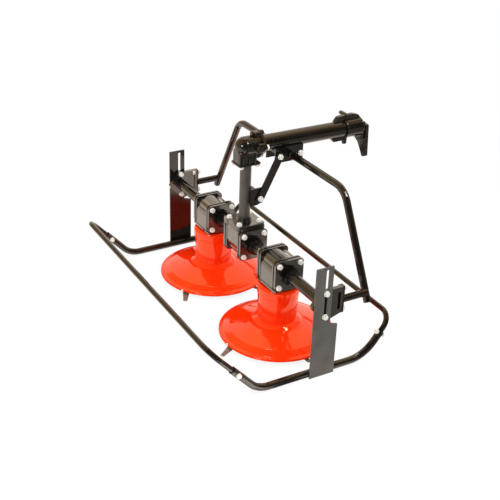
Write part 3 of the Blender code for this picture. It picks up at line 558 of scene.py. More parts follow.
def elbow_casting():
    """Foot plate, square body under a coned shoulder, domed barrel, ribs and bolt ears."""
    bm = bmesh.new()
    foot = rounded(rectangle(*FOOT_SIZE), FOOT_CORNER, 5)
    prism(bm, foot, FOOT_T, at(COLUMN_X, 0, ELBOW_LOW + FOOT_T / 2))
    floor_z = ELBOW_LOW + FOOT_T - MM
    elbow_body(bm, floor_z)
    arcs = [math.pi / 2 * i / 14 for i in range(15)]
    barrel = [(ELBOW_R * math.sin(a), ELBOW_NOSE - ELBOW_REAR + ELBOW_R * math.cos(a)) for a in arcs]
    lathe(bm, barrel + [(ELBOW_R, 0), (0, 0)], at(ELBOW_REAR, 0, TUBE_Z) @ ALONG_X, 64)
    ear = rounded(rectangle(EAR_W, EAR_H, 0, EAR_MIDDLE), [EAR_CORNER, EAR_CORNER, 0, 0], 5)
    for quarter in range(4):
        turn = Matrix.Rotation(math.pi / 2 * quarter, 4, "X")
        prism(bm, ear, EAR_L, at(ELBOW_REAR + EAR_L / 2, 0, TUBE_Z) @ turn @ CROSSWISE)
    for x in ELBOW_RIBS:
        rib = rounded(rectangle(*ELBOW_RIB), MM, 2)
        for side in (-1, 1):
            place = at(COLUMN_X + x, side * ELBOW_BODY[1] / 2, floor_z + ELBOW_RIB_H / 2)
            prism(bm, rib, ELBOW_RIB_H, place)
    piece("elbow_casting", bm, BLACK, "mower_unit", 1.4 * MM, ["elbow_gearbox"])


def elbow_bolts():
    """Ear and foot bolts. Those fitted before painting are black, the others bright."""
    bright = bmesh.new()
    painted = bmesh.new()
    for quarter in range(4):
        angle = math.pi / 2 * quarter
        y = EAR_BOLT * math.sin(angle)
        z = TUBE_Z + EAR_BOLT * math.cos(angle)
        bolt(bright if quarter == 1 else painted, (ELBOW_REAR - TUBE_FLANGE_T, y, z), (-1, 0, 0))
        bolt(painted, (ELBOW_REAR + EAR_L, y, z), (1, 0, 0))
    for dx in (-FOOT_BOLT[0], FOOT_BOLT[0]):
        for dy in (-FOOT_BOLT[1], FOOT_BOLT[1]):
            bolt(bright, (COLUMN_X + dx, dy, ELBOW_LOW), (0, 0, -1))
    piece("elbow_bolts", bright, ZINC, "mower_unit")
    piece("elbow_painted_bolts", painted, BLACK, "mower_unit", 0.4 * MM)


# ---- hitch ----
SLEEVE_R = 29 * MM
SLEEVE_BORE = 24.5 * MM
SLEEVE_REAR = COLUMN_X - 389 * MM
SLEEVE_L = 55 * MM
SLEEVE_FRONT = SLEEVE_REAR + SLEEVE_L
PLUG_T = 4 * MM                   # plate that closes the end of the sleeve
HITCH_EAR_T = 12 * MM
# Outlines of the ears above and below the sleeve: distance ahead of the column, height above the tube's
# axis and corner radius, in mm.
UPPER_EAR = ((-297, 25, 0), (-297, 26, 3), (-308, 41, 8), (-362, 44, 9), (-381, 39.6, 8), (-400.7, 17, 2),
             (-400.7, 0, 0), (-334, 0, 0), (-334, 25, 0))
LOWER_EAR = ((-290, -25, 0), (-290, -26, 2), (-298, -37, 5), (-341, -36, 5), (-352, -27.5, 2),
             (-352, -20, 0), (-334, -20, 0), (-334, -25, 0))
NECK_SIZE = (40 * MM, 57 * MM)
NECK_T = 13.5 * MM
NECK_X = COLUMN_X - 394 * MM
NECK_DROP = 11.5 * MM             # the neck's middle below the tube's axis
PIN_X = COLUMN_X - 341 * MM
# Cross pin through the upper ear and drop pin under the lower one: radius and length in mm.
CROSS_PIN = ((0, 0), (7, 0), (7, 37), (5.5, 42), (0, 42))
CROSS_PIN_START = (11 * MM, 40 * MM)         # off the middle, above the tube's axis
DROP_PIN = ((0, 0), (7.5, 0), (7.5, 26), (5, 29.5), (0, 29.5))
DROP_PIN_TOP = -20.5 * MM                    # from the tube's axis
HITCH_WELD = 3 * MM


def hitch():
    """Hitch sleeve round the end of the drive tube, with ears above and below, pins and a flat neck."""
    bm = bmesh.new()
    ring = [(SLEEVE_BORE, 0), (SLEEVE_R - MM, 0), (SLEEVE_R, MM), (SLEEVE_R, SLEEVE_L - MM),
            (SLEEVE_R - MM, SLEEVE_L), (SLEEVE_BORE, SLEEVE_L), (SLEEVE_BORE, 0)]
    lathe(bm, ring, at(SLEEVE_REAR, 0, TUBE_Z) @ ALONG_X, 48)
    disk(bm, SLEEVE_BORE + MM, -PLUG_T / 2, PLUG_T / 2, at(SLEEVE_REAR + PLUG_T, 0, TUBE_Z) @ ALONG_X, 48)
    for ear in (UPPER_EAR, LOWER_EAR):
        outline = rounded([(x * MM, z * MM) for x, z, _ in ear], [radius * MM for _, _, radius in ear], 5)
        prism(bm, outline, HITCH_EAR_T, at(COLUMN_X, 0, TUBE_Z) @ UPRIGHT)
    neck = rounded(rectangle(*NECK_SIZE, 0, -NECK_DROP), 6 * MM, 4)
    prism(bm, neck, NECK_T, at(NECK_X, 0, TUBE_Z) @ CROSSWISE)
    cross = at(PIN_X, CROSS_PIN_START[0], TUBE_Z + CROSS_PIN_START[1]) @ ALONG_Y @ DOWNWARD
    lathe(bm, [(r * MM, h * MM) for r, h in CROSS_PIN], cross, 24)
    drop = at(PIN_X, 0, TUBE_Z + DROP_PIN_TOP) @ DOWNWARD
    lathe(bm, [(r * MM, h * MM) for r, h in DROP_PIN], drop, 24)
    piece("hitch_sleeve_body", bm, BLACK, "mower_unit", 1.2 * MM, ["hitch_sleeve"])
    welds = bmesh.new()
    weld(welds, (SLEEVE_FRONT - MM, 0, TUBE_Z), (1, 0, 0), SLEEVE_R - 2 * MM, HITCH_WELD)
    weld(welds, (SLEEVE_REAR - MM, 0, TUBE_Z), (1, 0, 0), SLEEVE_R - 3 * MM, HITCH_WELD)
    piece("hitch_welds", welds, BLACK, "mower_unit")


# ---- rotors ----
SHAFT_R = 12.5 * MM
DRUM_TOP = BASE_LOW - 5 * MM
CAP_R = 62.5 * MM
CAP_ROUND = 9 * MM        # rounded top edge of the cap
CAP_SIDE_LOW = 164 * MM
CAP_Z = 143 * MM          # small step where the cap ends
DRUM_R = 58 * MM
DRUM_LOW = 63 * MM
FLARE_R = 72 * MM
FLARE_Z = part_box("left_drum")[0].z
CAP_STEP = ((-1.1, 1.4), (-2.3, -0.4))    # the step, from CAP_R and CAP_Z in mm
# The drum below the cap, past DRUM_R and its height in mm, and the flare at its foot, from DRUM_R and
# DRUM_LOW in mm.
DRUM_TAPER = ((1.6, 142.2), (1.3, 133), (0.8, 118), (0.3, 104), (0, 94))
DRUM_FLARE = ((0, 0), (5, -3.4), (10, -7.2))

DISC_R = (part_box("right_disc")[1].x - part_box("right_disc")[0].x) / 2
DISC_GAP = 0.3 * MM       # between the drum's foot and the disc
DISC_T = 3 * MM
DISH_SLOPE = 0.29         # the disc's top falls away by this slope, and a little faster outwards
DISH_BOW = 0.34
DISH_STEPS = (0, 8, 16, 24, 32, 40, 48, 56, 62, 64.5)    # past the drum's foot in mm
DISC_SHOULDER = ((138.5, 31.0), (140.5, 30.0), (150, 25.0), (157, 21.4))   # radius and height in mm
DISC_RIM = ((12, 20.7), (8, 19.7), (4, 18.9), (1.7, 18.4), (0.6, 17.6), (0, 16.5), (0, 12.5), (3, 12.5),
            (4, 15.5))    # inside the disc's edge and height in mm
DISC_HUB = ((26, 16), (24, 14), (0, 14))                 # under the disc, radius and height in mm
UNDERSIDE_SHADE_RING = ((160, 12.4), (160, 10), (167, 10), (168.6, 12.4))             # knife-steel ring under the rim: partly the disc's dark underside, partly painted shade under its edge; radius and height in mm

BOSS_R = 11 * MM
BOSS_TOP = 17 * MM
PIN_BOSS_LOW = 8.1 * MM
FIN_BOSS_LOW = 7 * MM
FIN_BOSS_INSET = 18 * MM
FIN_SIZE = (30 * MM, 12 * MM)
FIN_INSET = 7 * MM
FIN_T = 3 * MM
FIN_Z = 6 * MM
FIN_LAG = math.radians(87)        # from each knife's pin to the next sweep fin
KNIFE_PIN_R = 5 * MM
KNIFE_PIN = (3 * MM, 9 * MM)
KNIFE_NUT = (14 * MM, 2.4 * MM, 3.9 * MM)                # across flats, height, top face above the ground
RIM_STUD = ((0, 0), (3.8, 0), (3.8, 1.2), (2.8, 2.2), (0, 2.6))            # radius and height in mm
RIM_STUD_Z = 15 * MM
RIM_STUD_LEAD = math.radians(0.8)


def drum(side, axis):
    """Spun drum with a rounded cap, a small step below it, and a flared foot. Its shaft goes up inside."""
    arc = [math.pi / 2 * i / 6 for i in range(7)]
    shaft_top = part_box(side + "_drum")[1].z
    shell = [(0, shaft_top), (SHAFT_R, shaft_top), (SHAFT_R, DRUM_TOP)]
    shell += [(CAP_R - CAP_ROUND + CAP_ROUND * math.sin(a), DRUM_TOP - CAP_ROUND + CAP_ROUND * math.cos(a))
              for a in arc]
    shell += [(CAP_R, CAP_SIDE_LOW)]
    shell += [(CAP_R + r * MM, CAP_Z + h * MM) for r, h in CAP_STEP]
    shell += [(DRUM_R + r * MM, h * MM) for r, h in DRUM_TAPER]
    shell += [(DRUM_R + r * MM, DRUM_LOW + h * MM) for r, h in DRUM_FLARE]
    shell += [(FLARE_R, FLARE_Z), (0, FLARE_Z)]
    bm = bmesh.new()
    lathe(bm, shell, axis, 96)
    piece(side + "_drum_shell", bm, RED, side + "_rotor", 0, [side + "_drum"], math.radians(25))


def disc(side, axis):
    """Pressed disc: a dish that bows down to a shoulder and a rolled rim, hollow below."""
    top_z = FLARE_Z - DISC_GAP
    skin = [(FLARE_R + step * MM, top_z - DISH_SLOPE * step * MM - DISH_BOW * (step * MM) ** 2)
            for step in DISH_STEPS]
    skin += [(r * MM, h * MM) for r, h in DISC_SHOULDER]
    rim = [(DISC_R - r * MM, h * MM) for r, h in DISC_RIM]
    under = [(r, h - DISC_T) for r, h in reversed(skin)]
    hub = [(DISC_HUB[0][0] * MM, top_z - DISC_T)] + [(r * MM, h * MM) for r, h in DISC_HUB]
    bm = bmesh.new()
    lathe(bm, [(0, top_z)] + skin + rim + under + hub, axis, 128)
    piece(side + "_disc_dish", bm, RED, side + "_rotor", 0, [side + "_disc"], math.radians(28))


def knife_seats(side, axis):
    """Under each disc: bosses, pins, nuts and rim studs of the knives, and the sweep fins between them."""
    centre = middle(side + "_drum")
    steel = bmesh.new()
    fixings = bmesh.new()
    for joint in frame["joints"]:
        if not joint["child"].startswith(side + "_knife"):
            continue
        pin = Vector(joint["pos_m"])
        place = at(pin.x, pin.y, 0)
        disk(steel, BOSS_R, PIN_BOSS_LOW, BOSS_TOP, place)
        disk(fixings, KNIFE_PIN_R, *KNIFE_PIN, place)
        flats, height, face = KNIFE_NUT
        hexagon(fixings, flats, height, at(pin.x, pin.y, face) @ DOWNWARD)
        angle = math.atan2(pin.y - centre.y, pin.x - centre.x)
        stud_turn = Matrix.Rotation(angle - RIM_STUD_LEAD, 4, "Z")
        stud_place = axis @ stud_turn @ at(DISC_R - 0.6 * MM, 0, RIM_STUD_Z) @ ALONG_X
        lathe(fixings, [(r * MM, h * MM) for r, h in RIM_STUD], stud_place, 20)
        turn = axis @ Matrix.Rotation(angle + FIN_LAG, 4, "Z")
        fin = rounded(rectangle(*FIN_SIZE, DISC_R - FIN_INSET, 0), [4 * MM, 0, 0, 4 * MM], 4)
        prism(steel, fin, FIN_T, turn @ at(0, 0, FIN_Z))
        disk(steel, BOSS_R, FIN_BOSS_LOW, BOSS_TOP, turn @ at(DISC_R - FIN_BOSS_INSET, 0, 0))
    # a ring of knife steel under the rim: partly the disc's dark underside, partly painted shade under its
    # edge
    ring = [(r * MM, h * MM) for r, h in UNDERSIDE_SHADE_RING]
    lathe(steel, ring + ring[:1], axis, 96)
    piece(side + "_disc_bosses", steel, KNIFE, side + "_rotor", 0.5 * MM)
    piece(side + "_knife_nuts", fixings, ZINC, side + "_rotor")


# Distance from the pin and half width of a knife, in mm.
KNIFE_STATIONS = ((-10, 3.5), (-8.5, 7.5), (-4.5, 9.6), (2, 10), (14, 9.7), (30, 8.5), (48, 7.1), (58, 6.2),
                  (60.3, 4.3))
GROUND_FROM = 16          # the outer part is ground, from this station in mm
GROUND_W = 3 * MM
GROUND_EDGE = 0.8 * MM
BLUNT_W = 0.4 * MM
BLUNT_DROP = 0.3 * MM


def knife(node):
    """Blade with ground bevels along both sides of its outer part."""
    joint = next(j for j in frame["joints"] if j["child"] == node)
    pin = Vector(joint["pos_m"])
    low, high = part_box(node)
    way = (middle(node) - pin).to_2d()
    thick = high.z - low.z
    loops = []
    for station, half_width in KNIFE_STATIONS:
        ground = station > GROUND_FROM
        x = station * MM
        half = half_width * MM
        edge = GROUND_EDGE if ground else thick - BLUNT_DROP
        flat = max(half - (GROUND_W if ground else BLUNT_W), 2 * MM)
        loops.append([(x, -half, 0), (x, half, 0), (x, half, edge), (x, flat, thick), (x, -flat, thick),
                      (x, -half, edge)])
    bm = bmesh.new()
    turn = Matrix.Rotation(math.atan2(way.y, way.x), 4, "Z")
    loft(bm, loops, at(pin.x, pin.y, low.z) @ turn)
    piece(node + "_blade", bm, KNIFE, node, 0.2 * MM, [node])


# ---- frame: plates, pipes and their fixings ----
PLATE_BOLT = 35.5 * MM            # bolts through the skid plates' slots, above and below the cross shaft
BRACKET_INNER = 426.7 * MM        # inner face of each end bracket, from the middle of the machine
ARM_BOLT = 32 * MM                # bolts through the hoop arms' flanges, above and below the cross shaft
ARM_BOLT_X = COLUMN_X - 50 * MM
ARM_BOLT_Y = 429 * MM
ARM_BOLT_GRIP = 12.6 * MM
SHADE_SHEET = 0.3 * MM                 # sheets of painted shade on the inner surfaces of the end brackets' pockets and plate slots
SHADE_SHEET_Z = AXLE.z + MM
POCKET_X = AXLE.x - 45.5 * MM     # pocket in each end bracket, in front of its bolted flange
POCKET_L = 8.6 * MM
POCKET_H = 51.4 * MM
POCKET_DEPTH = 6 * MM
SLOT_SIZE = (7.4 * MM, 76 * MM)


def outer_face(node):
    """How far a side piece's outer face is from the middle of the machine."""
    return max(abs(corner.y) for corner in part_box(node))


def frame_bolts():
    """Bolts through each skid plate's slot, and through the bracket's flange and the hoop arm behind it."""
    bm = bmesh.new()
    for side, out in (("left", 1), ("right", -1)):
        face = outer_face(side + "_skid_plate")
        for dz in (-PLATE_BOLT, PLATE_BOLT):
            bolt(bm, (AXLE.x, out * face, AXLE.z + dz), (0, out, 0), face - BRACKET_INNER, tail=8 * MM)
        for dz in (-ARM_BOLT, ARM_BOLT):
            place = (ARM_BOLT_X, out * ARM_BOLT_Y, AXLE.z + dz)
            bolt(bm, place, (1, 0, 0), ARM_BOLT_GRIP, tail=7 * MM)
    piece("frame_bolts", bm, ZINC, "mower_unit")


def painted_pocket_shade():
    """Painted shade: dark sheets on the floor and the rear wall of each end bracket's pocket, and on its face
    behind the plate's slot.
    """
    bm = bmesh.new()
    for side, out in (("left", 1), ("right", -1)):
        outer = outer_face(side + "_end_bracket")
        floor_y = outer - POCKET_DEPTH
        place = at(POCKET_X, out * (floor_y + SHADE_SHEET), SHADE_SHEET_Z)
        prism(bm, rectangle(POCKET_L, POCKET_H), SHADE_SHEET, place @ UPRIGHT)
        place = at(POCKET_X - POCKET_L / 2 + SHADE_SHEET, out * (floor_y + POCKET_DEPTH / 2), SHADE_SHEET_Z)
        prism(bm, rectangle(POCKET_DEPTH - SHADE_SHEET * 2, POCKET_H), SHADE_SHEET, place @ CROSSWISE)
        place = at(AXLE.x, out * (outer + SHADE_SHEET * 1.6), SHADE_SHEET_Z)
        prism(bm, rectangle(*SLOT_SIZE), SHADE_SHEET, place @ UPRIGHT)
    piece("bracket_pocket_painted_shade", bm, SHADE, "mower_unit")


# The rising ends of the rails, front and rear, in mm: foot and top (ahead of the cross shaft, above the
# ground), where the rail ends and its bolt sits along the rise, and whether the bolt faces inwards.
RISERS = (((190, 10.65), (336, 169), 120, 98, False), ((-155, 10.65), (-240, 121), 86, 80, True))
RAIL_Y = middle("left_side_rail").y
PIPE_R = 10.65 * MM       # rails and hoop
PIPE_WALL = 1.1 * MM
BAR_R = 7.8 * MM          # open end of a rail, just inside the surface of the bar in it
JOINT_BOLT = dict(M8, flats=12 * MM, washer=7.3 * MM)


def rail_joints():
    """Bolts through the ends of the rails, and rings of painted shade in the open ends round the bars that
    slide into them.
    """
    bolts = bmesh.new()
    gap_shade = bmesh.new()
    bore = PIPE_R - PIPE_WALL
    lip = [(BAR_R, -MM), (bore, -MM), (bore, 0.3 * MM), (BAR_R, 0.3 * MM), (BAR_R, -MM)]
    for foot, top, rail_end, bolt_at, faces_inwards in RISERS:
        foot = Vector((foot[0], 0, foot[1])) * MM
        way = (Vector((top[0], 0, top[1])) * MM - foot).normalized()
        face = Vector((way.z, 0, -way.x)) if faces_inwards else Vector((0, 1, 0))
        turn = way.to_track_quat("Z", "Y").to_matrix().to_4x4()
        for side in (-1, 1):
            start = foot + Vector((AXLE.x, side * RAIL_Y, 0))
            centre = start + way * bolt_at * MM
            bolt(bolts, centre + face * PIPE_R, face, PIPE_R * 2, JOINT_BOLT, tail=3 * MM)
            # a dark ring of painted shade inside the rail's open end
            lathe(gap_shade, lip, at(*(start + way * rail_end * MM)) @ turn, 32)
    piece("rail_bolts", bolts, ZINC, "skid_frame")
    piece("rail_end_painted_shade", gap_shade, SHADE, "skid_frame")


# Bolts of the strut under the drive tube and of the saddle on the hoop: behind the column, above the
# cross shaft, and the depth to the nut.
STRUT_TOP_BOLT = (95.5 * MM, 251.5 * MM)
STRUT_LOW_BOLT = (34.4 * MM, 130.3 * MM, 11 * MM)
SADDLE_BOLT = (168 * MM, 250 * MM, 54 * MM)
SADDLE_WELD_R = 11.6 * MM


def saddle_fittings():
    """Bolts through the strut and the saddle, and the welds that hold the saddle's cheeks to the hoop."""
    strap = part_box("strut_strap")[1].y
    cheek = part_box("saddle_bracket")[1].y
    bolts = bmesh.new()
    back, up = STRUT_TOP_BOLT
    bolt(bolts, (COLUMN_X - back, strap, AXLE.z + up), (0, 1, 0))
    for y, (back, up, grip) in ((strap, STRUT_LOW_BOLT), (cheek, SADDLE_BOLT)):
        bolt(bolts, (COLUMN_X - back, y, AXLE.z + up), (0, 1, 0), grip, tail=6 * MM)
    piece("saddle_bolts", bolts, ZINC, "mower_unit")
    welds = bmesh.new()
    hoop_x = middle("hoop").x
    hoop_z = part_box("hoop")[1].z - PIPE_R
    for side in (-1, 1):
        weld(welds, (hoop_x, side * (cheek + MM), hoop_z), (0, 1, 0), SADDLE_WELD_R, 2.2 * MM)
    piece("saddle_welds", welds, CAST, "mower_unit")


COLUMN_R = 16.85 * MM
COLUMN_FOOT_CORNER = 7 * MM
COLLAR = ((24.5, 0), (24, 1.6), (20, 3.4), (20, 5), (21.5, 5.4), (21.5, 11.4), (20.5, 12.4), (17.2, 12.4),
          (0, 12.4))      # radius and height above the foot plate in mm
COLLAR_WELD = (22.5 * MM, 1.6 * MM, 1.8 * MM)            # radius, height and the bead's own radius


def column():
    """Upright tube in its collar and weld, on a square foot plate."""
    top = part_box("column")[1].z
    tube = bmesh.new()
    disk(tube, COLUMN_R, 0, top - COLUMN_PLATE_TOP, at(COLUMN_X, 0, COLUMN_PLATE_TOP), 64)
    piece("column_tube", tube, SATIN, "mower_unit", 0, ["column"])
    foot = bmesh.new()
    plate = rounded(rectangle(FLANGE_HALF * 2, FLANGE_HALF * 2), COLUMN_FOOT_CORNER, 5)
    prism(foot, plate, COLUMN_PLATE_TOP - COLUMN_LOW, at(COLUMN_X, 0, (COLUMN_LOW + COLUMN_PLATE_TOP) / 2))
    collar = [(0, 0)] + [(r * MM, h * MM) for r, h in COLLAR]
    lathe(foot, collar, at(COLUMN_X, 0, COLUMN_PLATE_TOP), 48)
    radius, height, size = COLLAR_WELD
    weld(foot, (COLUMN_X, 0, COLUMN_PLATE_TOP + height), (0, 0, 1), radius, size)
    piece("column_foot", foot, CAST, "mower_unit", 0.8 * MM)


# ---- the whole machine ----
for name in ("front_bar", "rear_bar", "left_side_rail", "right_side_rail", "hoop", "drive_tube"):
    dress(name, BLACK, 0.6 * MM)
for name in ("left_hoop_arm", "right_hoop_arm", "hitch_tongue", "strut_strap", "column_lug",
             "saddle_bracket"):
    dress(name, BLACK, 1.0 * MM)
for name in ("left_shaft_housing", "right_shaft_housing", "left_side_tube", "right_side_tube"):
    dress(name, BLACK, 2.2 * MM)
for name in ("left_end_bracket", "right_end_bracket"):
    dress(name, CAST, 1.2 * MM)
dress("left_skid_plate", GREY, 0.6 * MM)
dress("right_skid_plate", BLACK, 0.6 * MM)
for name, way in (("left_gearbox", 1), ("right_gearbox", 1), ("center_gearbox", -1)):
    gearbox_casting(name, way)
    gearbox_bolts(name, way < 0)
elbow_casting()
elbow_bolts()
hitch()
for side in ("left", "right"):
    rotor_axis = at(middle(side + "_drum").x, middle(side + "_drum").y, 0)
    drum(side, rotor_axis)
    disc(side, rotor_axis)
    knife_seats(side, rotor_axis)
    for number in (1, 2):
        knife(f"{side}_knife_{number}")
frame_bolts()
painted_pocket_shade()
rail_joints()
saddle_fittings()
column()


# ---- floor, light and camera ----
FLOOR_SIZE = 12
FLOOR_Z = -0.5 * MM
SHADOW_REACH = 0.9        # the floor keeps its shading out to here, and is plain white past FLOOR_FADE
FLOOR_FADE = 2.2
FLOOR_GLOW = 0.86         # share of plain white in the shaded part of the floor
# Where the white surroundings and the white floor end for reflections: the way, where the light starts
# and stops to fall along it, and what is left of it.
ROOM_DIM_SIDE = ((0.2, 0.98, 0), 0.2, 0.45, 0.05)
FLOOR_DIM_SIDE = ((-0.3, 0.95, 0), 0.47, 0.50, 0.24)
# What reflections see on the floor, as place, radius and share of the light: the shadow of each disc, the
# shadow of the left skid plate, and a bright patch in front of the left rail.
FLOOR_SPOTS = (((DRUM_X, BOX_CENTRES["left_gearbox"], 0), 0.208, 0.08),
               ((DRUM_X, BOX_CENTRES["right_gearbox"], 0), 0.208, 0.08),
               ((AXLE.x + 0.085, 0.43, 0), 0.06, 0.15),
               ((AXLE.x + 0.24, 0.62, 0), 0.17, 2.4))
SPOT_EDGE = 6 * MM
WALL = ((0.0, (0.65, 0.44, 0.20)), (0.70, (0.68, 0.42, 0.18)), (0.90, (0.62, 0.38, 0.17)),
        (1.0, (0.10, 0.06, 0.03)))             # height of the view, colour of the room
PAPER_FOOT = (1.15, 1.00, 0.86, 1)             # the paper's colour low down and high up
PAPER_HEAD = (1.30, 0.95, 0.55, 1)
PAPER_WARMS = (0.55, 0.85)                     # heights between which it changes
PAPER_TOP = 0.925
PAPER_ENDS = ((-0.985, -0.174, 0), (0.087, -0.996, 0))     # the paper lies on this side of both
SOFT_LIGHT = 0.45                              # strength of the even light from all round


def towards_dim_side(tree, vector, side):
    """1 on the lit side, falling to what is left on the dim one."""
    way, start, stop, dim = side
    along = add(tree, "VectorMath", {"operation": "DOT_PRODUCT"}, {0: vector, 1: way}).outputs["Value"]
    return add(tree, "MapRange", inputs={"Value": along, "From Min": start, "From Max": stop,
                                         "To Min": 1.0, "To Max": dim}).outputs["Result"]


def seen_directly(tree, rays):
    """1 for the camera and for what shows through clear material."""
    return add(tree, "Math", {"operation": "MAXIMUM"},
               {0: rays.outputs["Is Camera Ray"], 1: rays.outputs["Is Transmission Ray"]}).outputs[0]


def white_floor():
    # Matt white studio floor: plain white far out, a little shaded near the mower so that its shadow
    # shows. Reflections see warm paper with the mower's own dark shadows on it.
    mat = bpy.data.materials.new("white studio floor")
    mat.use_nodes = True
    tree = mat.node_tree
    tree.nodes.clear()
    rays = add(tree, "LightPath")
    place = add(tree, "TexCoord").outputs["Object"]
    away = add(tree, "VectorMath", {"operation": "LENGTH"}, {0: place}).outputs["Value"]
    share = add(tree, "MapRange", inputs={"Value": away, "From Min": SHADOW_REACH, "From Max": FLOOR_FADE,
                                          "To Min": FLOOR_GLOW, "To Max": 1.0}).outputs["Result"]
    seen = add(tree, "Math", {"operation": "MULTIPLY"}, {0: seen_directly(tree, rays), 1: share}).outputs[0]
    paint = add(tree, "BsdfDiffuse", inputs={"Color": (0.9, 0.9, 0.9, 1)})
    white = add(tree, "Emission", inputs={"Color": (1, 1, 1, 1), "Strength": 1.0})
    shaded = add(tree, "MixShader", inputs={0: seen, 1: paint.outputs[0], 2: white.outputs[0]})
    level = towards_dim_side(tree, place, FLOOR_DIM_SIDE)
    for spot, radius, left in FLOOR_SPOTS:
        gap = add(tree, "VectorMath", {"operation": "DISTANCE"}, {0: place, 1: spot}).outputs["Value"]
        spot_level = add(tree, "MapRange", inputs={
            "Value": gap, "From Min": radius - SPOT_EDGE, "From Max": radius + SPOT_EDGE,
            "To Min": left, "To Max": 1.0}).outputs["Result"]
        level = add(tree, "Math", {"operation": "MULTIPLY"}, {0: level, 1: spot_level}).outputs[0]
    mirrored = add(tree, "Emission", inputs={"Color": PAPER_FOOT, "Strength": level})
    mix = add(tree, "MixShader", inputs={0: rays.outputs["Is Glossy Ray"], 1: shaded.outputs[0],
                                         2: mirrored.outputs[0]})
    add(tree, "OutputMaterial", inputs={"Surface": mix.outputs[0]})
    return mat


def floor():
    """A plain floor just under the mower."""
    mesh = bpy.data.meshes.new("floor")
    bm = bmesh.new()
    bmesh.ops.create_grid(bm, x_segments=1, y_segments=1, size=FLOOR_SIZE)
    bm.to_mesh(mesh)
    bm.free()
    obj = bpy.data.objects.new("floor", mesh)
    obj.location.z = FLOOR_Z
    bpy.context.scene.collection.objects.link(obj)
    mesh.materials.append(white_floor())


def world():
    """White for the camera. Reflections see a white paper sweep behind the mower in a brown room."""
    space = bpy.data.worlds.new("studio")
    bpy.context.scene.world = space
    space.use_nodes = True
    tree = space.node_tree
    tree.nodes.clear()
    rays = add(tree, "LightPath")
    way = add(tree, "TexCoord").outputs["Generated"]
    height = add(tree, "SeparateXYZ", inputs={0: way}).outputs["Z"]
    rise = add(tree, "MapRange", inputs={"Value": height, "From Min": -1.0}).outputs["Result"]
    ramp = add(tree, "ValToRGB", inputs={"Fac": rise})
    room = ramp.outputs["Color"]
    stops = ramp.color_ramp.elements
    for index, (level, colour) in enumerate(WALL):
        stop = stops[index] if index < 2 else stops.new(1.0)
        stop.position = (level + 1) / 2
        stop.color = colour + (1.0,)
    paper = add(tree, "MapRange", inputs={"Value": height, "From Min": PAPER_TOP + 0.03,
                                          "From Max": PAPER_TOP - 0.03}).outputs["Result"]
    for end in PAPER_ENDS:
        side = add(tree, "VectorMath", {"operation": "DOT_PRODUCT"}, {0: way, 1: end}).outputs["Value"]
        near = add(tree, "MapRange", inputs={"Value": side, "From Min": -0.02, "From Max": 0.04})
        paper = add(tree, "Math", {"operation": "MULTIPLY"}, {0: paper, 1: near.outputs["Result"]}).outputs[0]
    warmth = add(tree, "MapRange", inputs={"Value": height, "From Min": PAPER_WARMS[0],
                                           "From Max": PAPER_WARMS[1]}).outputs["Result"]
    bright = add(tree, "Mix", {"data_type": "RGBA"}, {0: warmth, 6: PAPER_FOOT, 7: PAPER_HEAD}).outputs[2]
    shown = add(tree, "Mix", {"data_type": "RGBA"}, {0: paper, 6: room, 7: bright}).outputs[2]
    level = towards_dim_side(tree, way, ROOM_DIM_SIDE)
    soft = add(tree, "Background", inputs={"Color": (1.0, 0.99, 0.97, 1), "Strength": SOFT_LIGHT})
    sharp = add(tree, "Background", inputs={"Color": shown, "Strength": level})
    white = add(tree, "Background", inputs={"Color": (1, 1, 1, 1), "Strength": 1.0})
    mirrored = add(tree, "MixShader", inputs={0: rays.outputs["Is Glossy Ray"], 1: soft.outputs[0],
                                              2: sharp.outputs[0]})
    mix = add(tree, "MixShader", inputs={0: seen_directly(tree, rays), 1: mirrored.outputs[0],
                                         2: white.outputs[0]})
    add(tree, "OutputWorld", inputs={"Surface": mix.outputs[0]})


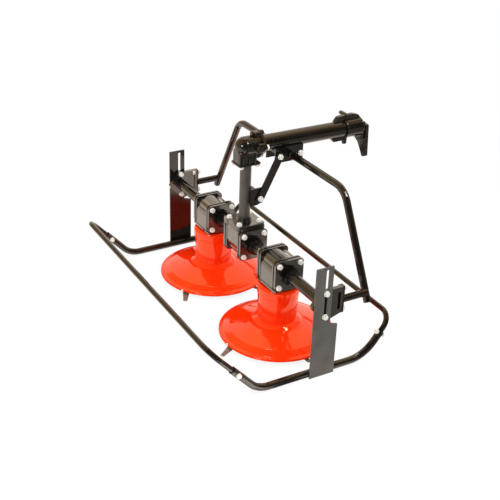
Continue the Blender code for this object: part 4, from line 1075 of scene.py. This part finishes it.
# Name, place, what it points at, width in metres, power in watts and whether reflections show it.
LIGHTS = (("front softbox", (2.6, -0.9, 1.5), (0, 0, 0.2), 2.0, 36, False),
          ("overhead softbox", (0.2, 0.3, 2.8), (0, 0, 0.2), 2.4, 40, False),
          ("side softbox", (0.4, 2.6, 1.6), (0, 0, 0.3), 1.8, 24, False),
          ("rear softbox", (-2.4, 0.8, 1.9), (0, 0, 0.2), 1.8, 40, False),
          ("front lamp", (2.5, 1.3, 1.65), (0, 0, 0.5), 0.8, 20, True),
          ("near lamp", (-0.8, 1.7, 2.5), (0, 0, 0.5), 0.5, 9, True),
          ("upper lamp", (-0.55, 1.3, 2.6), (0, 0, 0.1), 0.2, 2, True),
          ("far lamp", (-0.4, -1.4, 5.8), (0, 0, 0.1), 0.6, 7, True))


def lamp(name, place, target, size, power, mirrored):
    """A round lamp or softbox that the camera doesn't see."""
    light = bpy.data.lights.new(name, "AREA")
    light.shape = "DISK"
    light.size = size
    light.energy = power
    obj = bpy.data.objects.new(name, light)
    obj.location = place
    obj.rotation_euler = (Vector(target) - Vector(place)).to_track_quat("-Z", "Y").to_euler()
    obj.visible_camera = False
    obj.visible_glossy = mirrored
    bpy.context.scene.collection.objects.link(obj)


CAMERA_PLACE = (COLUMN_X + 1.2619, 2.1742, 1.5208)
AZIMUTH = math.radians(149.9271)
ELEVATION = math.radians(28.3763)
ROLL = math.radians(1.7731)
LENS = 67.916
SENSOR = 36
SHIFT = (0.01563, 0.01121)


def camera():
    """The camera, from its azimuth, elevation and roll."""
    lens = bpy.data.cameras.new("camera")
    lens.lens = LENS
    lens.sensor_width = SENSOR
    lens.shift_x = SHIFT[0]
    lens.shift_y = SHIFT[1]
    lens.clip_end = 50
    obj = bpy.data.objects.new("camera", lens)
    level = math.cos(ELEVATION)
    ahead = Vector((-math.sin(AZIMUTH) * level, math.cos(AZIMUTH) * level, -math.sin(ELEVATION)))
    level_right = ahead.cross(Vector((0, 0, 1))).normalized()
    level_up = level_right.cross(ahead)
    right = level_right * math.cos(ROLL) + level_up * math.sin(ROLL)
    up = level_up * math.cos(ROLL) - level_right * math.sin(ROLL)
    turn = Matrix((right, up, -ahead)).transposed().to_4x4()
    obj.matrix_world = at(*CAMERA_PLACE) @ turn
    bpy.context.scene.collection.objects.link(obj)
    bpy.context.scene.camera = obj


floor()
world()
for light in LIGHTS:
    lamp(*light)
camera()
bpy.context.scene.view_settings.view_transform = "Standard"
